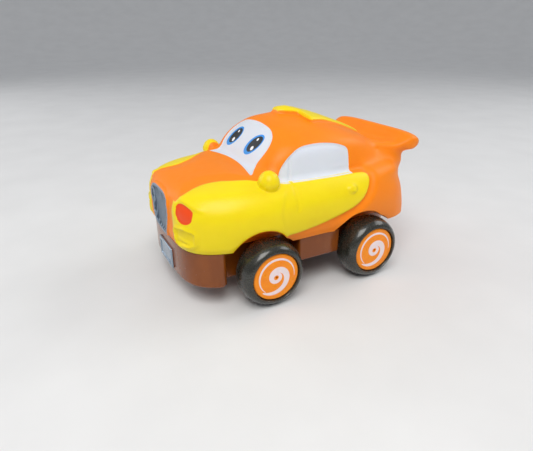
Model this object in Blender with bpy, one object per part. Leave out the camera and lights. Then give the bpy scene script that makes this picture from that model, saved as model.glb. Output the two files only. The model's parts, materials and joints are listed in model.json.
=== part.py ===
"""Pull back car: a soft vinyl body on a plastic chassis, with a clockwork motor on the rear axle.

Dimensions are in millimetres and become metres when a mesh is made. +X is the car's left,
the front faces -Y and +Z is up. The origin is on the ground below the middle of the car.
"""

from math import acos, cos, pi, radians, sin, tan

import bmesh
import bpy
from mathutils import Matrix, Vector

MM = 0.001
GAP = 0.3  # between pieces that touch

# Running gear
WHEEL_RADIUS = 13.7
AXLE_Z = WHEEL_RADIUS
FRONT_AXLE_Y = -24.5
REAR_AXLE_Y = 24.5
TYRE_OUTER_X = 40.0
TYRE_INNER_X = 27.4
HUB_RADIUS = 9.0
DISC_RADIUS = 9.9
AXLE_RADIUS = 1.25
AXLE_HALF_LENGTH = 36.5
SHOULDER_RADIUS = 10.4  # where the tyre's crown begins on each side
TYRE_LIP = 1.6  # from the tyre's outer side to the seat of the disc
CORE_BOSS_RADIUS = 4.0
CORE_BOSS_X = (TYRE_INNER_X + 1.0, TYRE_INNER_X + 3.0)
DISC_THICKNESS = 1.2
DISC_SUNK = 0.4
ROUND_SEGMENTS = 24

# Vinyl body: horizontal rings from the lower lip to the roof.
# Each is (front y, rear y, half width, z at the front, z at the sides, z at the rear,
# squareness of the front half, squareness of the rear half).
LIP_Z = 24.5
RINGS = (
    (-56.0, 51.0, 33.6, LIP_Z, LIP_Z, LIP_Z, 4.6, 7.0),
    (-57.0, 54.1, 35.2, 28.0, 28.5, 28.0, 4.4, 4.3),
    (-57.0, 54.5, 36.3, 35.0, 35.0, 35.0, 4.2, 3.4),
    (-57.0, 53.4, 35.6, 41.0, 41.0, 42.0, 3.8, 3.0),
    (-54.6, 49.3, 32.5, 45.3, 46.0, 47.5, 3.4, 4.0),
    (-44.0, 48.0, 28.6, 47.6, 48.6, 51.0, 3.2, 3.2),
    (-25.0, 44.5, 27.6, 50.6, 52.0, 53.4, 4.8, 2.8),
    (-22.3, 40.6, 27.0, 54.2, 56.0, 55.9, 4.6, 2.6),
    (-18.8, 35.0, 25.4, 58.8, 60.0, 58.3, 4.0, 2.5),
    (-12.5, 22.5, 18.6, 65.6, 64.3, 63.3, 3.2, 2.2),
    (-5.5, 11.0, 9.0, 68.7, 67.2, 67.3, 2.4, 2.0),
)
ROOF_TOP = (1.0, 69.7)  # y and z of the roof's highest point
WAIST_Y = 4.0  # where the rings' front and rear halves meet
FIRST_SHOULDER_RING = 4
WALL = 1.8
FLANGE_WIDTH = 2.7
FLANGE_TOP_Z = 26.3
RING_COLUMNS = 44
ROWS_PER_RING = 2
WHEEL_ARCHES = (  # y, z and radius of the round openings about each axle
    (-24.5, 13.7, 15.2), (-27.7, 20.5, 12.1), (24.5, 13.7, 15.2), (19.3, 17.0, 15.0),
)
WELL_INNER_X = 26.2
WELL_WALL = 1.6

# Relief on the body
MIRROR_AT = (29.0, -22.4, 48.2)
MIRROR_SIZE = (9.2, 8.4, 10.0)
# Each section is (y, half width, low z, high z, squareness).
STRIP_SECTIONS = (
    (-3.4, 3.0, 64.0, 71.0, 2.6),
    (-1.0, 4.2, 64.0, 71.5, 2.6),
    (3.0, 5.2, 64.0, 71.3, 2.6),
    (5.5, 6.5, 63.0, 70.6, 2.6),
    (7.5, 10.0, 61.0, 69.6, 2.6),
    (14.0, 9.2, 59.0, 67.8, 2.6),
    (23.0, 7.6, 56.0, 64.8, 2.6),
    (33.0, 4.8, 52.0, 61.0, 2.6),
    (44.0, 0.9, 48.0, 55.5, 2.6),
)
WING_SECTIONS = (
    (30.0, 17.5, 53.6, 58.0, 3.0),
    (36.0, 20.6, 52.6, 56.8, 3.4),
    (41.0, 23.6, 51.5, 56.0, 4.0),
    (45.0, 25.8, 51.0, 56.0, 4.2),
    (48.0, 26.9, 50.7, 57.6, 4.4),
    (51.0, 27.6, 50.5, 59.4, 4.4),
    (54.0, 27.4, 51.1, 59.2, 4.2),
    (56.0, 26.6, 52.4, 58.0, 3.8),
    (57.0, 25.6, 53.8, 56.4, 3.2),
)
PEDESTAL_SECTIONS = (
    (31.0, 19.0, 46.0, 54.5, 3.0),
    (38.0, 23.5, 43.0, 54.5, 3.4),
    (45.0, 25.2, 40.5, 54.0, 3.6),
    (49.5, 24.4, 40.0, 53.0, 3.4),
    (52.0, 21.0, 42.0, 51.0, 3.0),
)
SECTION_POINTS = 16

# Chassis tray
TRAY_FLOOR_Z = 9.0
TRAY_TOP_Z = LIP_Z - GAP
TRAY_WALL = 1.8
BUMPER_REAR_Y = -41.0
BUMPER_HALF_WIDTH = 30.5
TAIL_REAR_Y = 50.3
TAIL_SQUARENESS = 4.2
NECK_HALF_WIDTH = 24.3
SKIRT_HALF_WIDTH = 32.8
SKIRT_HALF_LENGTH = 10.2
SKIRT_BOTTOM_Z = 13.5
PLATE_SIZE = (16.6, 1.2, 8.8)
PLATE_Z = 15.1
PLATE_PROUD = 0.9
SCREW_RECESS_TOP_Z = TRAY_FLOOR_Z + 2.2

# Bushes of the front axle
BUSH_RADIUS = 2.4
BUSH_FLANGE_RADIUS = 3.4
BUSH_FLANGE = 0.8
REAR_AXLE_HOLE_CLEARANCE = 1.0

# Inner clamp frame and its screws
FRAME_Z = FLANGE_TOP_Z + GAP
FRAME_THICKNESS = 1.8
FRAME_EDGE_GAP = 0.7
FRAME_NOTCH_Y = (5.0, 43.4)  # beside the wheel wells, mirrored front to rear
FRAME_FRONT_WINDOW = (26.0, 34.0, 8.0)
POSTS = ((16.0, -43.5), (-16.0, -43.5), (16.0, 34.0), (-16.0, 34.0))  # x and y
POST_RADIUS = 3.0
WELL_BOSS_RADIUS = 3.4
WELL_BOSS_TOP_Z = 13.0
SCREW_HEAD_RADIUS = 2.1
SCREW_SHANK_RADIUS = 1.0
SCREW_HEAD_HEIGHT = 1.4
HEAD_OVERLAP = 0.05  # the head's union with the shank
RECESS_SIZE = (0.5, 0.7)  # width and depth of a cross recess

# Clockwork motor
GEAR_MODULE = 0.5
PINION_TEETH = 12
DRIVE_WHEEL_TEETH = 24
SPRING_GEAR_TEETH = 36
BACKLASH = 0.14
DRIVE_GEAR_BEARING = 110.0  # degrees, seen from the rear axle, from +Y towards +Z
SPRING_GEAR_BEARING = -5.0  # degrees, seen from the drive gear
CLUTCH_DISENGAGED = 7.1  # clutch gear to spring gear, centre to centre
GEAR_PLANE_A = (4.0, 6.5)  # x range of axle pinion, drive wheel, clutch gear
GEAR_PLANE_B = (0.6, 3.1)  # x range of drive pinion and spring gear
CASE_Y = (13.4, 44.2)
CASE_Z = (8.6, 32.2)
CASE_LEFT_X = 10.8
CASE_RIGHT_X = -12.3
CASE_WALL = 1.1
PARTITION_X = (-2.6, -1.8)
GEAR_PIN_RADIUS = 0.75
SPINDLE_RADIUS = 1.1
RUNNING_CLEARANCE = 0.1
SPRING_X = (-9.8, -4.2)
SPRING_RADII = (2.0, 8.8)
SPRING_TURNS = 4.25
SPRING_THICKNESS = 0.3
CASE_SCREWS = ((15.8, 29.7), (42.0, 12.9))  # y and z
CASE_BOSS_RADIUS = 1.9
CASE_SCREW_HOLE_RADIUS = 1.1
MOTOR_EAR_AT = (14.6, 18.0)  # x from the middle of the case, and y
MOTOR_EAR_SIZE = (8.2, 7.0, 1.5)

COLLECTION_NAME = "pull_back_car"
CUTTER_COLLECTION = "cutters"

COLOURS = {
    "orange_vinyl": ((1.0, 0.26, 0.025), 0.42, 0.0),
    "brown_plastic": ((0.17, 0.055, 0.02), 0.22, 0.0),
    "black_tyre": ((0.03, 0.03, 0.024), 0.25, 0.0),
    "orange_disc": ((1.0, 0.26, 0.01), 0.3, 0.0),
    "grey_plastic": ((0.30, 0.30, 0.31), 0.45, 0.0),
    "white_nylon": ((0.80, 0.80, 0.77), 0.4, 0.0),
    "clear_case": ((0.55, 0.57, 0.60), 0.3, 0.0),
    "steel": ((0.60, 0.60, 0.62), 0.3, 1.0),
    "spring_steel": ((0.32, 0.34, 0.38), 0.35, 1.0),
}


def clear_scene():
    for item in list(bpy.data.objects):
        bpy.data.objects.remove(item)


def new_collection(name):
    collection = bpy.data.collections.new(name)
    bpy.context.scene.collection.children.link(collection)
    return collection


def new_material(name):
    colour, roughness, metallic = COLOURS[name]
    material = bpy.data.materials.new(name)
    material.use_nodes = True
    shader = material.node_tree.nodes["Principled BSDF"]
    shader.inputs["Base Color"].default_value = (*colour, 1.0)
    shader.inputs["Roughness"].default_value = roughness
    shader.inputs["Metallic"].default_value = metallic
    return material


def metres(point):
    return Vector(point) * MM


def finish_mesh(name, bm, smooth_angle=35.0):
    bmesh.ops.recalc_face_normals(bm, faces=bm.faces)
    mesh = bpy.data.meshes.new(name)
    bm.to_mesh(mesh)
    bm.free()
    mesh.shade_smooth()
    mesh.set_sharp_from_angle(angle=radians(smooth_angle))
    return mesh


def box_mesh(name, size):
    """A box about its own centre."""
    bm = bmesh.new()
    bmesh.ops.create_cube(bm, size=1.0)
    bmesh.ops.scale(bm, vec=metres(size), verts=bm.verts)
    return finish_mesh(name, bm)


def rod_mesh(name, radius, length, axis="X", segments=ROUND_SEGMENTS):
    """A cylinder about its own centre, along the X or Z axis."""
    bm = bmesh.new()
    bmesh.ops.create_cone(
        bm, cap_ends=True, segments=segments, radius1=radius * MM, radius2=radius * MM,
        depth=length * MM,
    )
    if axis == "X":
        bmesh.ops.rotate(bm, matrix=Matrix.Rotation(radians(90.0), 3, "Y"), verts=bm.verts)
    return finish_mesh(name, bm)


def ball_mesh(name, size, segments=16, rings=10):
    bm = bmesh.new()
    bmesh.ops.create_uvsphere(bm, u_segments=segments, v_segments=rings, radius=0.5)
    bmesh.ops.scale(bm, vec=metres(size), verts=bm.verts)
    return finish_mesh(name, bm)


def outline_mesh(name, outline, low, high, axis="Z"):
    """A flat outline extruded from low to high: (x, y) along Z, or (y, z) along X."""
    bm = bmesh.new()
    if axis == "Z":
        ring = [bm.verts.new(metres((a, b, low))) for a, b in outline]
        along = metres((0.0, 0.0, high - low))
    else:
        ring = [bm.verts.new(metres((low, a, b))) for a, b in outline]
        along = metres((high - low, 0.0, 0.0))
    face = bm.faces.new(ring)
    extruded = bmesh.ops.extrude_face_region(bm, geom=[face])["geom"]
    moved = [item for item in extruded if isinstance(item, bmesh.types.BMVert)]
    bmesh.ops.translate(bm, vec=along, verts=moved)
    return finish_mesh(name, bm)


def turned_mesh(name, profile, segments=ROUND_SEGMENTS):
    """A closed profile of (x, radius) points turned about the X axis."""
    bm = bmesh.new()
    rings = []
    for step in range(segments):
        angle = 2.0 * pi * step / segments
        rings.append([bm.verts.new(metres((x, r * cos(angle), r * sin(angle)))) for x, r in profile])
    count = len(profile)
    for step in range(segments):
        here, after = rings[step], rings[(step + 1) % segments]
        for i in range(count):
            j = (i + 1) % count
            bm.faces.new((here[i], here[j], after[j], after[i]))
    return finish_mesh(name, bm)


def mirrored(outline):
    """A closed outline from its +X half, which runs from the front to the rear centre."""
    return outline + [(-x, y) for x, y in reversed(outline) if abs(x) > 1e-6]


def power(value, exponent):
    return (1.0 if value >= 0.0 else -1.0) * abs(value) ** exponent


def ring_point(ring, angle):
    """A point of a body ring. Angle 0 is the front and 90 degrees the left side."""
    front, rear, half_width, z_front, z_side, z_rear, n_front, n_rear = ring
    ahead = cos(angle)
    n = n_front if ahead > 0.0 else n_rear
    reach = (WAIST_Y - front) if ahead > 0.0 else (rear - WAIST_Y)
    x = half_width * power(sin(angle), 2.0 / n)
    y = WAIST_Y - reach * power(ahead, 2.0 / n)
    z_end = z_front if ahead > 0.0 else z_rear
    return Vector((x, y, z_side + (z_end - z_side) * ahead * ahead))


def spline(points, t):
    """Catmull-Rom through the points, with t from 0 to 1."""
    last = len(points) - 1
    i = min(int(t * last), last - 1)
    f = t * last - i
    p1, p2 = points[i], points[i + 1]
    p0 = points[i - 1] if i > 0 else 2.0 * p1 - p2
    p3 = points[i + 2] if i + 2 <= last else 2.0 * p2 - p1
    return 0.5 * (
        2.0 * p1 + (p2 - p0) * f + (2.0 * p0 - 5.0 * p1 + 4.0 * p2 - p3) * f * f
        + (3.0 * p1 - p0 - 3.0 * p2 + p3) * f ** 3
    )


def loft_mesh(name, rows, pole):
    """A dome through closed rows of points, with a flat base and a pole on top."""
    bm = bmesh.new()
    loops = [[bm.verts.new(point * MM) for point in row] for row in rows]
    top = bm.verts.new(pole * MM)
    count = len(loops[0])
    for low, high in zip(loops, loops[1:]):
        for i in range(count):
            j = (i + 1) % count
            bm.faces.new((low[i], low[j], high[j], high[i]))
    for i in range(count):
        bm.faces.new((loops[-1][i], loops[-1][(i + 1) % count], top))
    bm.faces.new(list(reversed(loops[0])))
    return finish_mesh(name, bm, 60.0)


def body_rows(rings, pole):
    columns = []
    steps = ROWS_PER_RING * len(rings)
    for c in range(RING_COLUMNS):
        angle = 2.0 * pi * (c + 0.5) / RING_COLUMNS
        controls = [ring_point(ring, angle) for ring in rings] + [pole]
        columns.append([spline(controls, s / steps) for s in range(steps)])
    return [list(row) for row in zip(*columns)]


def inset_ring(ring, inset, drop):
    front, rear, half_width, z_front, z_side, z_rear, n_front, n_rear = ring
    return (front + inset, rear - inset, half_width - inset,
            z_front - drop, z_side - drop, z_rear - drop, n_front, n_rear)


class Workshop:
    """Makes objects in the two collections and joins or cuts them with modifiers."""

    def __init__(self):
        self.parts = new_collection(COLLECTION_NAME)
        self.cutters = new_collection(CUTTER_COLLECTION)
        self.materials = {name: new_material(name) for name in COLOURS}

    def part(self, mesh, material, at=(0.0, 0.0, 0.0), name=None):
        item = bpy.data.objects.new(name or mesh.name, mesh)
        item.location = metres(at)
        if not mesh.materials:
            mesh.materials.append(self.materials[material])
        self.parts.objects.link(item)
        return item

    def tool(self, mesh, at=(0.0, 0.0, 0.0), turn=(0.0, 0.0, 0.0)):
        item = bpy.data.objects.new(mesh.name, mesh)
        item.location = metres(at)
        item.rotation_euler = [radians(a) for a in turn]
        item.hide_render = True
        item.display_type = "WIRE"
        self.cutters.objects.link(item)
        return item

    def combine(self, item, other, operation):
        modifier = item.modifiers.new(other.name, "BOOLEAN")
        modifier.operation = operation
        modifier.solver = "EXACT"
        modifier.object = other
        return item

    def cut(self, item, other):
        return self.combine(item, other, "DIFFERENCE")

    def join(self, item, other):
        return self.combine(item, other, "UNION")


def wheel_wells(shop, name, wall, inner_x):
    """Short cylinders that clear the wheels and shape the arches, outward from inner_x."""
    outer_x = TYRE_OUTER_X + 10.0
    wells = []
    for side in (1.0, -1.0):
        for y, z, radius in WHEEL_ARCHES:
            mesh = rod_mesh(f"{name}_{len(wells)}", radius + wall, outer_x - inner_x, segments=36)
            wells.append(shop.tool(mesh, (side * 0.5 * (outer_x + inner_x), y, z)))
    return wells


def body_shell(shop):
    pole = Vector((0.0, *ROOF_TOP))
    body = shop.part(loft_mesh("body_shell", body_rows(RINGS, pole), pole), "orange_vinyl")
    for side in (1.0, -1.0):
        x, y, z = MIRROR_AT
        mirror = ball_mesh("mirror_form", MIRROR_SIZE)
        shop.join(body, shop.tool(mirror, (side * x, y, z)))
    shop.join(body, shop.tool(section_loft("strip_form", STRIP_SECTIONS)))
    shop.join(body, shop.tool(section_loft("wing_form", WING_SECTIONS)))
    shop.join(body, shop.tool(section_loft("pedestal_form", PEDESTAL_SECTIONS)))
    for well in wheel_wells(shop, "wheel_well", 0.0, WELL_INNER_X):
        shop.cut(body, well)
    cavity = body_cavity(shop)
    for well in wheel_wells(shop, "well_liner", WELL_WALL, WELL_INNER_X - WELL_WALL):
        shop.cut(cavity, well)
    return shop.cut(body, cavity)


def body_cavity(shop):
    """The hollow inside the body: the rings moved in by the wall, above a narrower mouth."""
    pole = Vector((0.0, ROOF_TOP[0], ROOF_TOP[1] - WALL))
    rings = [inset_ring(ring, WALL, 0.0 if i < FIRST_SHOULDER_RING else WALL)
             for i, ring in enumerate(RINGS)]
    rows = [row for row in body_rows(rings, pole) if row[0].z > FLANGE_TOP_Z + 1.0]
    lip = RINGS[0]
    mouth = inset_ring(lip, WALL + FLANGE_WIDTH, 0.0)
    wide = inset_ring(lip, WALL, 0.0)
    angles = [2.0 * pi * (c + 0.5) / RING_COLUMNS for c in range(RING_COLUMNS)]
    low = [[flat(ring_point(ring, a), z) for a in angles]
           for ring, z in ((mouth, LIP_Z - 6.0), (mouth, FLANGE_TOP_Z), (wide, FLANGE_TOP_Z + 0.2))]
    return shop.tool(loft_mesh("body_cavity", low + rows, pole))


def flat(point, z):
    return Vector((point.x, point.y, z))


def section_loft(name, sections):
    """A solid through upright rounded sections that are symmetric about the car's centre."""
    bm = bmesh.new()
    loops = []
    for y, half_width, low, high, squareness in sections:
        loop = []
        for step in range(SECTION_POINTS):
            angle = 2.0 * pi * (step + 0.5) / SECTION_POINTS
            x = half_width * power(cos(angle), 2.0 / squareness)
            z = 0.5 * (low + high) + 0.5 * (high - low) * power(sin(angle), 2.0 / squareness)
            loop.append(bm.verts.new(metres((x, y, z))))
        loops.append(loop)
    for here, after in zip(loops, loops[1:]):
        for i in range(SECTION_POINTS):
            j = (i + 1) % SECTION_POINTS
            bm.faces.new((here[i], here[j], after[j], after[i]))
    bm.faces.new(loops[0])
    bm.faces.new(loops[-1])
    return finish_mesh(name, bm)


def bumper_arc(inset):
    """Points of the body's lip in plan, from the front's centre to the bumper's rear corner."""
    ring = inset_ring(RINGS[0], inset, 0.0)
    points = []
    for step in range(0, 31, 2):
        point = ring_point(ring, pi * step / 60.0)
        if point.y < BUMPER_REAR_Y - 1.0 - inset and point.x < BUMPER_HALF_WIDTH - inset:
            points.append((point.x, point.y))
    return points


def tail_arc(inset):
    """Points in plan from the chassis's side round to its rear centre."""
    points = []
    for step in range(13):
        angle = 0.5 * pi * (1.0 - step / 12.0)
        x = (NECK_HALF_WIDTH - inset) * power(sin(angle), 2.0 / TAIL_SQUARENESS)
        y = (TAIL_REAR_Y - WAIST_Y - inset) * power(cos(angle), 2.0 / TAIL_SQUARENESS)
        points.append((x, WAIST_Y + y))
    return points


def tray_outline(inset):
    """The chassis in plan, moved in by inset: a wide bumper, then a narrower round-ended tail."""
    bumper, neck = BUMPER_HALF_WIDTH - inset, NECK_HALF_WIDTH - inset
    rear = BUMPER_REAR_Y - inset
    return mirrored(bumper_arc(inset) + [(bumper, rear), (neck, rear)] + tail_arc(inset))


def chassis_tray(shop):
    tray = shop.part(
        outline_mesh("chassis_tray", tray_outline(0.0), TRAY_FLOOR_Z, TRAY_TOP_Z), "brown_plastic"
    )
    height = TRAY_TOP_Z - SKIRT_BOTTOM_Z
    skirt_size = (2.0 * SKIRT_HALF_WIDTH, 2.0 * SKIRT_HALF_LENGTH, height)
    skirt_z = SKIRT_BOTTOM_Z + 0.5 * height
    shop.join(tray, shop.tool(box_mesh("skirt_form", skirt_size), (0.0, 0.0, skirt_z)))
    plate = box_mesh("number_plate_form", PLATE_SIZE)
    plate_y = RINGS[0][0] + 0.5 * PLATE_SIZE[1] - PLATE_PROUD
    shop.join(tray, shop.tool(plate, (0.0, plate_y, PLATE_Z)))
    hollow = outline_mesh("tray_hollow", tray_outline(TRAY_WALL),
                          TRAY_FLOOR_Z + TRAY_WALL, TRAY_TOP_Z + 5.0)
    shop.cut(tray, shop.tool(hollow))
    pocket_size = (2.0 * (SKIRT_HALF_WIDTH - TRAY_WALL), 2.0 * (SKIRT_HALF_LENGTH - TRAY_WALL), 14.0)
    pocket_z = SKIRT_BOTTOM_Z + TRAY_WALL + 7.0
    shop.cut(tray, shop.tool(box_mesh("skirt_hollow", pocket_size), (0.0, 0.0, pocket_z)))
    boss_height = WELL_BOSS_TOP_Z - TRAY_FLOOR_Z - 0.4
    for i, (x, y) in enumerate(POSTS):
        boss = rod_mesh(f"screw_boss_{i}", WELL_BOSS_RADIUS, boss_height, axis="Z", segments=20)
        shop.join(tray, shop.tool(boss, (x, y, WELL_BOSS_TOP_Z - 0.5 * boss_height)))
    for i, (x, y) in enumerate(POSTS):
        recess = rod_mesh(f"screw_recess_{i}", SCREW_HEAD_RADIUS + 0.3, 6.0, axis="Z", segments=20)
        shop.cut(tray, shop.tool(recess, (x, y, SCREW_RECESS_TOP_Z - 3.0)))
        hole = rod_mesh(f"screw_hole_{i}", SCREW_SHANK_RADIUS + GAP, 12.0, axis="Z", segments=16)
        shop.cut(tray, shop.tool(hole, (x, y, TRAY_FLOOR_Z + 4.0)))
    bush_hole = rod_mesh("bush_hole", BUSH_RADIUS + GAP, 60.0)
    shop.cut(tray, shop.tool(bush_hole, (0.0, FRONT_AXLE_Y, AXLE_Z)))
    axle_hole = rod_mesh("axle_hole", AXLE_RADIUS + REAR_AXLE_HOLE_CLEARANCE, 60.0)
    shop.cut(tray, shop.tool(axle_hole, (0.0, REAR_AXLE_Y, AXLE_Z)))
    opening = (CASE_LEFT_X - CASE_RIGHT_X + 2.0 * GAP, CASE_Y[1] - CASE_Y[0] + 2.0 * GAP, 8.0)
    centre = (0.5 * (CASE_LEFT_X + CASE_RIGHT_X), 0.5 * (CASE_Y[0] + CASE_Y[1]), TRAY_FLOOR_Z)
    shop.cut(tray, shop.tool(box_mesh("motor_opening", opening), centre))
    for i, side in enumerate((1.0, -1.0)):
        x, y = ear_place(side)
        pilot = rod_mesh(f"motor_pilot_{i}", SCREW_SHANK_RADIUS + GAP, 8.0, axis="Z", segments=16)
        shop.cut(tray, shop.tool(pilot, (x, y, TRAY_FLOOR_Z)))
    return tray


def ear_place(side):
    """Where the motor's ear is on one side: the case isn't centred on the car."""
    middle = 0.5 * (CASE_LEFT_X + CASE_RIGHT_X)
    return middle + side * MOTOR_EAR_AT[0], MOTOR_EAR_AT[1]


def inner_frame(shop):
    """The plate that clamps the body's flange on the tray, with a post for each screw."""
    edge = inset_ring(RINGS[0], WALL + FRAME_EDGE_GAP, 0.0)
    outline = []
    for step in range(RING_COLUMNS):
        point = ring_point(edge, 2.0 * pi * (step + 0.5) / RING_COLUMNS)
        outline.append((point.x, point.y))
    frame = shop.part(
        outline_mesh("inner_frame", outline, FRAME_Z, FRAME_Z + FRAME_THICKNESS), "grey_plastic"
    )
    neck = NECK_HALF_WIDTH - TRAY_WALL - GAP
    notch = (20.0, FRAME_NOTCH_Y[1] - FRAME_NOTCH_Y[0], 8.0)
    for i, (side, end) in enumerate(((1.0, 1.0), (-1.0, 1.0), (1.0, -1.0), (-1.0, -1.0))):
        centre = (side * (neck + 0.5 * notch[0]), end * 0.5 * sum(FRAME_NOTCH_Y), FRAME_Z)
        shop.cut(frame, shop.tool(box_mesh(f"frame_notch_{i}", notch), centre))
    width = CASE_LEFT_X - CASE_RIGHT_X + 5.0
    length = CASE_Y[1] - CASE_Y[0] + 2.0
    centre = (0.5 * (CASE_LEFT_X + CASE_RIGHT_X), 0.5 * (CASE_Y[0] + CASE_Y[1]), FRAME_Z)
    shop.cut(frame, shop.tool(box_mesh("frame_window", (width, length, 8.0)), centre))
    forward = box_mesh("frame_front_window", FRAME_FRONT_WINDOW)
    shop.cut(frame, shop.tool(forward, (0.0, -22.0, FRAME_Z)))
    low = WELL_BOSS_TOP_Z + GAP
    height = FRAME_Z + 0.9 - low
    for i, (x, y) in enumerate(POSTS):
        post = rod_mesh(f"post_{i}", POST_RADIUS, height, axis="Z", segments=20)
        shop.join(frame, shop.tool(post, (x, y, low + 0.5 * height)))
    for i, (x, y) in enumerate(POSTS):
        pilot = rod_mesh(f"post_pilot_{i}", SCREW_SHANK_RADIUS + 0.2, 20.0, axis="Z", segments=16)
        shop.cut(frame, shop.tool(pilot, (x, y, low)))
    return frame


def screw(shop, name, at, length, head_radius=SCREW_HEAD_RADIUS, radius=SCREW_SHANK_RADIUS,
          axis="Z", flip=False):
    """A pan-head screw with a cross recess. Its shank points along +axis, or -axis if flipped."""
    sense = -1.0 if flip else 1.0
    head = SCREW_HEAD_HEIGHT
    along = (lambda d: (d, 0.0, 0.0)) if axis == "X" else (lambda d: (0.0, 0.0, d))
    shank = rod_mesh(name, radius, length, axis=axis, segments=8)
    body = shop.part(shank, "steel", add(at, along(sense * 0.5 * length)))
    cap = rod_mesh(f"{name}_head", head_radius, head, axis=axis, segments=12)
    shop.join(body, shop.tool(cap, add(at, along(-sense * (0.5 * head - HEAD_OVERLAP)))))
    long, (wide, deep) = head_radius * 1.2, RECESS_SIZE
    sizes = ((deep, long, wide), (deep, wide, long)) if axis == "X" \
        else ((long, wide, deep), (wide, long, deep))
    for k, size in enumerate(sizes):
        slot = box_mesh(f"{name}_slot_{k}", size)
        shop.cut(body, shop.tool(slot, add(at, along(-sense * (head - 3.0 * HEAD_OVERLAP)))))
    return body


def add(a, b):
    return tuple(p + q for p, q in zip(a, b))


def tyre_profile():
    """(x, radius) of a plump tyre: a wide crown, round shoulders and a straight bore."""
    width = TYRE_OUTER_X - TYRE_INNER_X
    middle = TYRE_INNER_X + 0.5 * width
    crown = []
    steps = 8
    for step in range(steps + 1):
        angle = pi * step / steps
        x = middle - 0.5 * width * power(cos(angle), 0.75)
        r = SHOULDER_RADIUS + (WHEEL_RADIUS - SHOULDER_RADIUS) * power(sin(angle), 0.75)
        crown.append((x, r))
    seat_x = TYRE_OUTER_X - TYRE_LIP
    return crown + [(seat_x, DISC_RADIUS + GAP), (seat_x, HUB_RADIUS + GAP),
                    (TYRE_INNER_X + 0.4, HUB_RADIUS + GAP)]


def wheel(shop, end, side_name, side, y, body):
    """Tyre, core and printed disc of one wheel, on the left for side +1."""
    suffix = f"{end}_{side_name}"
    at = (0.0, y, AXLE_Z)
    tyre = shop.part(turned_mesh(f"tyre_{suffix}", tyre_profile()), "black_tyre", at)
    boss_x, web_x = CORE_BOSS_X
    end_x = AXLE_HALF_LENGTH + GAP
    core_profile = [(boss_x, AXLE_RADIUS + GAP), (boss_x, CORE_BOSS_RADIUS),
                    (web_x, CORE_BOSS_RADIUS), (web_x, HUB_RADIUS),
                    (end_x, HUB_RADIUS), (end_x, AXLE_RADIUS + GAP)]
    core = shop.part(turned_mesh(f"wheel_core_{suffix}", core_profile), "grey_plastic", at)
    disc_mesh = rod_mesh(f"hub_disc_{suffix}", DISC_RADIUS, DISC_THICKNESS)
    disc_x = TYRE_OUTER_X - DISC_SUNK - 0.5 * DISC_THICKNESS
    disc = shop.part(disc_mesh, "orange_disc", (side * disc_x, y, AXLE_Z))
    for item in (tyre, core):
        item.rotation_euler = (0.0, 0.0, 0.0 if side > 0.0 else pi)
    for item in (tyre, core, disc):
        hang(item, body)


def hang(item, parent):
    """Parents item to an empty without moving it."""
    item.parent = parent
    item.location = item.location - parent.location


def joint_empty(shop, name, at):
    empty = bpy.data.objects.new(name, None)
    empty.location = metres(at)
    shop.parts.objects.link(empty)
    return empty


def wheelset(shop, end, y):
    centre = joint_empty(shop, f"{end}_axle_joint", (0.0, y, AXLE_Z))
    rod = rod_mesh(f"{end}_axle", AXLE_RADIUS, 2.0 * AXLE_HALF_LENGTH)
    hang(shop.part(rod, "steel", (0.0, y, AXLE_Z)), centre)
    for side_name, side in (("left", 1.0), ("right", -1.0)):
        wheel(shop, end, side_name, side, y, centre)
    return centre


def front_bushes(shop):
    """Two flanged bushes that carry the front axle in the tray's walls."""
    for side_name, side in (("left", 1.0), ("right", -1.0)):
        wall = NECK_HALF_WIDTH
        bore = AXLE_RADIUS + RUNNING_CLEARANCE
        profile = [(wall - TRAY_WALL - 0.6, bore), (wall - TRAY_WALL - 0.6, BUSH_RADIUS),
                   (wall + GAP, BUSH_RADIUS), (wall + GAP, BUSH_FLANGE_RADIUS),
                   (wall + GAP + BUSH_FLANGE, BUSH_FLANGE_RADIUS), (wall + GAP + BUSH_FLANGE, bore)]
        mesh = turned_mesh(f"front_axle_bush_{side_name}", profile, segments=16)
        bush = shop.part(mesh, "white_nylon", (0.0, FRONT_AXLE_Y, AXLE_Z))
        bush.rotation_euler = (0.0, 0.0, 0.0 if side > 0.0 else pi)


def involute_half_angle(base, radius, pitch_radius, half_at_pitch):
    """Half the angle a tooth fills at a radius."""
    def involute(r):
        pressure = acos(min(1.0, base / r))
        return tan(pressure) - pressure
    return half_at_pitch + involute(pitch_radius) - involute(max(radius, base))


def gear_outline(teeth, phase, centre=(0.0, 0.0)):
    """(y, z) points of a spur gear whose first tooth points along the phase angle."""
    pitch_radius = 0.5 * GEAR_MODULE * teeth
    base = pitch_radius * cos(radians(20.0))
    tip = pitch_radius + 0.9 * GEAR_MODULE
    root = pitch_radius - 1.2 * GEAR_MODULE
    half_at_pitch = (0.5 * pi * GEAR_MODULE - BACKLASH) / (2.0 * pitch_radius)
    points = []
    for tooth in range(teeth):
        middle = phase + 2.0 * pi * tooth / teeth
        flank = []
        for radius in (root, pitch_radius, tip):
            half = involute_half_angle(base, radius, pitch_radius, half_at_pitch)
            flank.append((radius, half))
        for radius, half in flank:
            points.append((radius, middle - half))
        for radius, half in reversed(flank):
            points.append((radius, middle + half))
    return [(centre[0] + r * cos(a), centre[1] + r * sin(a)) for r, a in points]


def meshed_phase(phase, teeth, other_teeth, bearing):
    """The phase of a gear that meshes with another gear, seen along the bearing from it."""
    fraction = ((bearing - phase) / (2.0 * pi / teeth)) % 1.0
    return bearing + pi - (0.5 - fraction) * 2.0 * pi / other_teeth


def centre_distance(teeth, other_teeth):
    return 0.5 * GEAR_MODULE * (teeth + other_teeth)


def polar(origin, distance, bearing):
    return (origin[0] + distance * cos(bearing), origin[1] + distance * sin(bearing))


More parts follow.
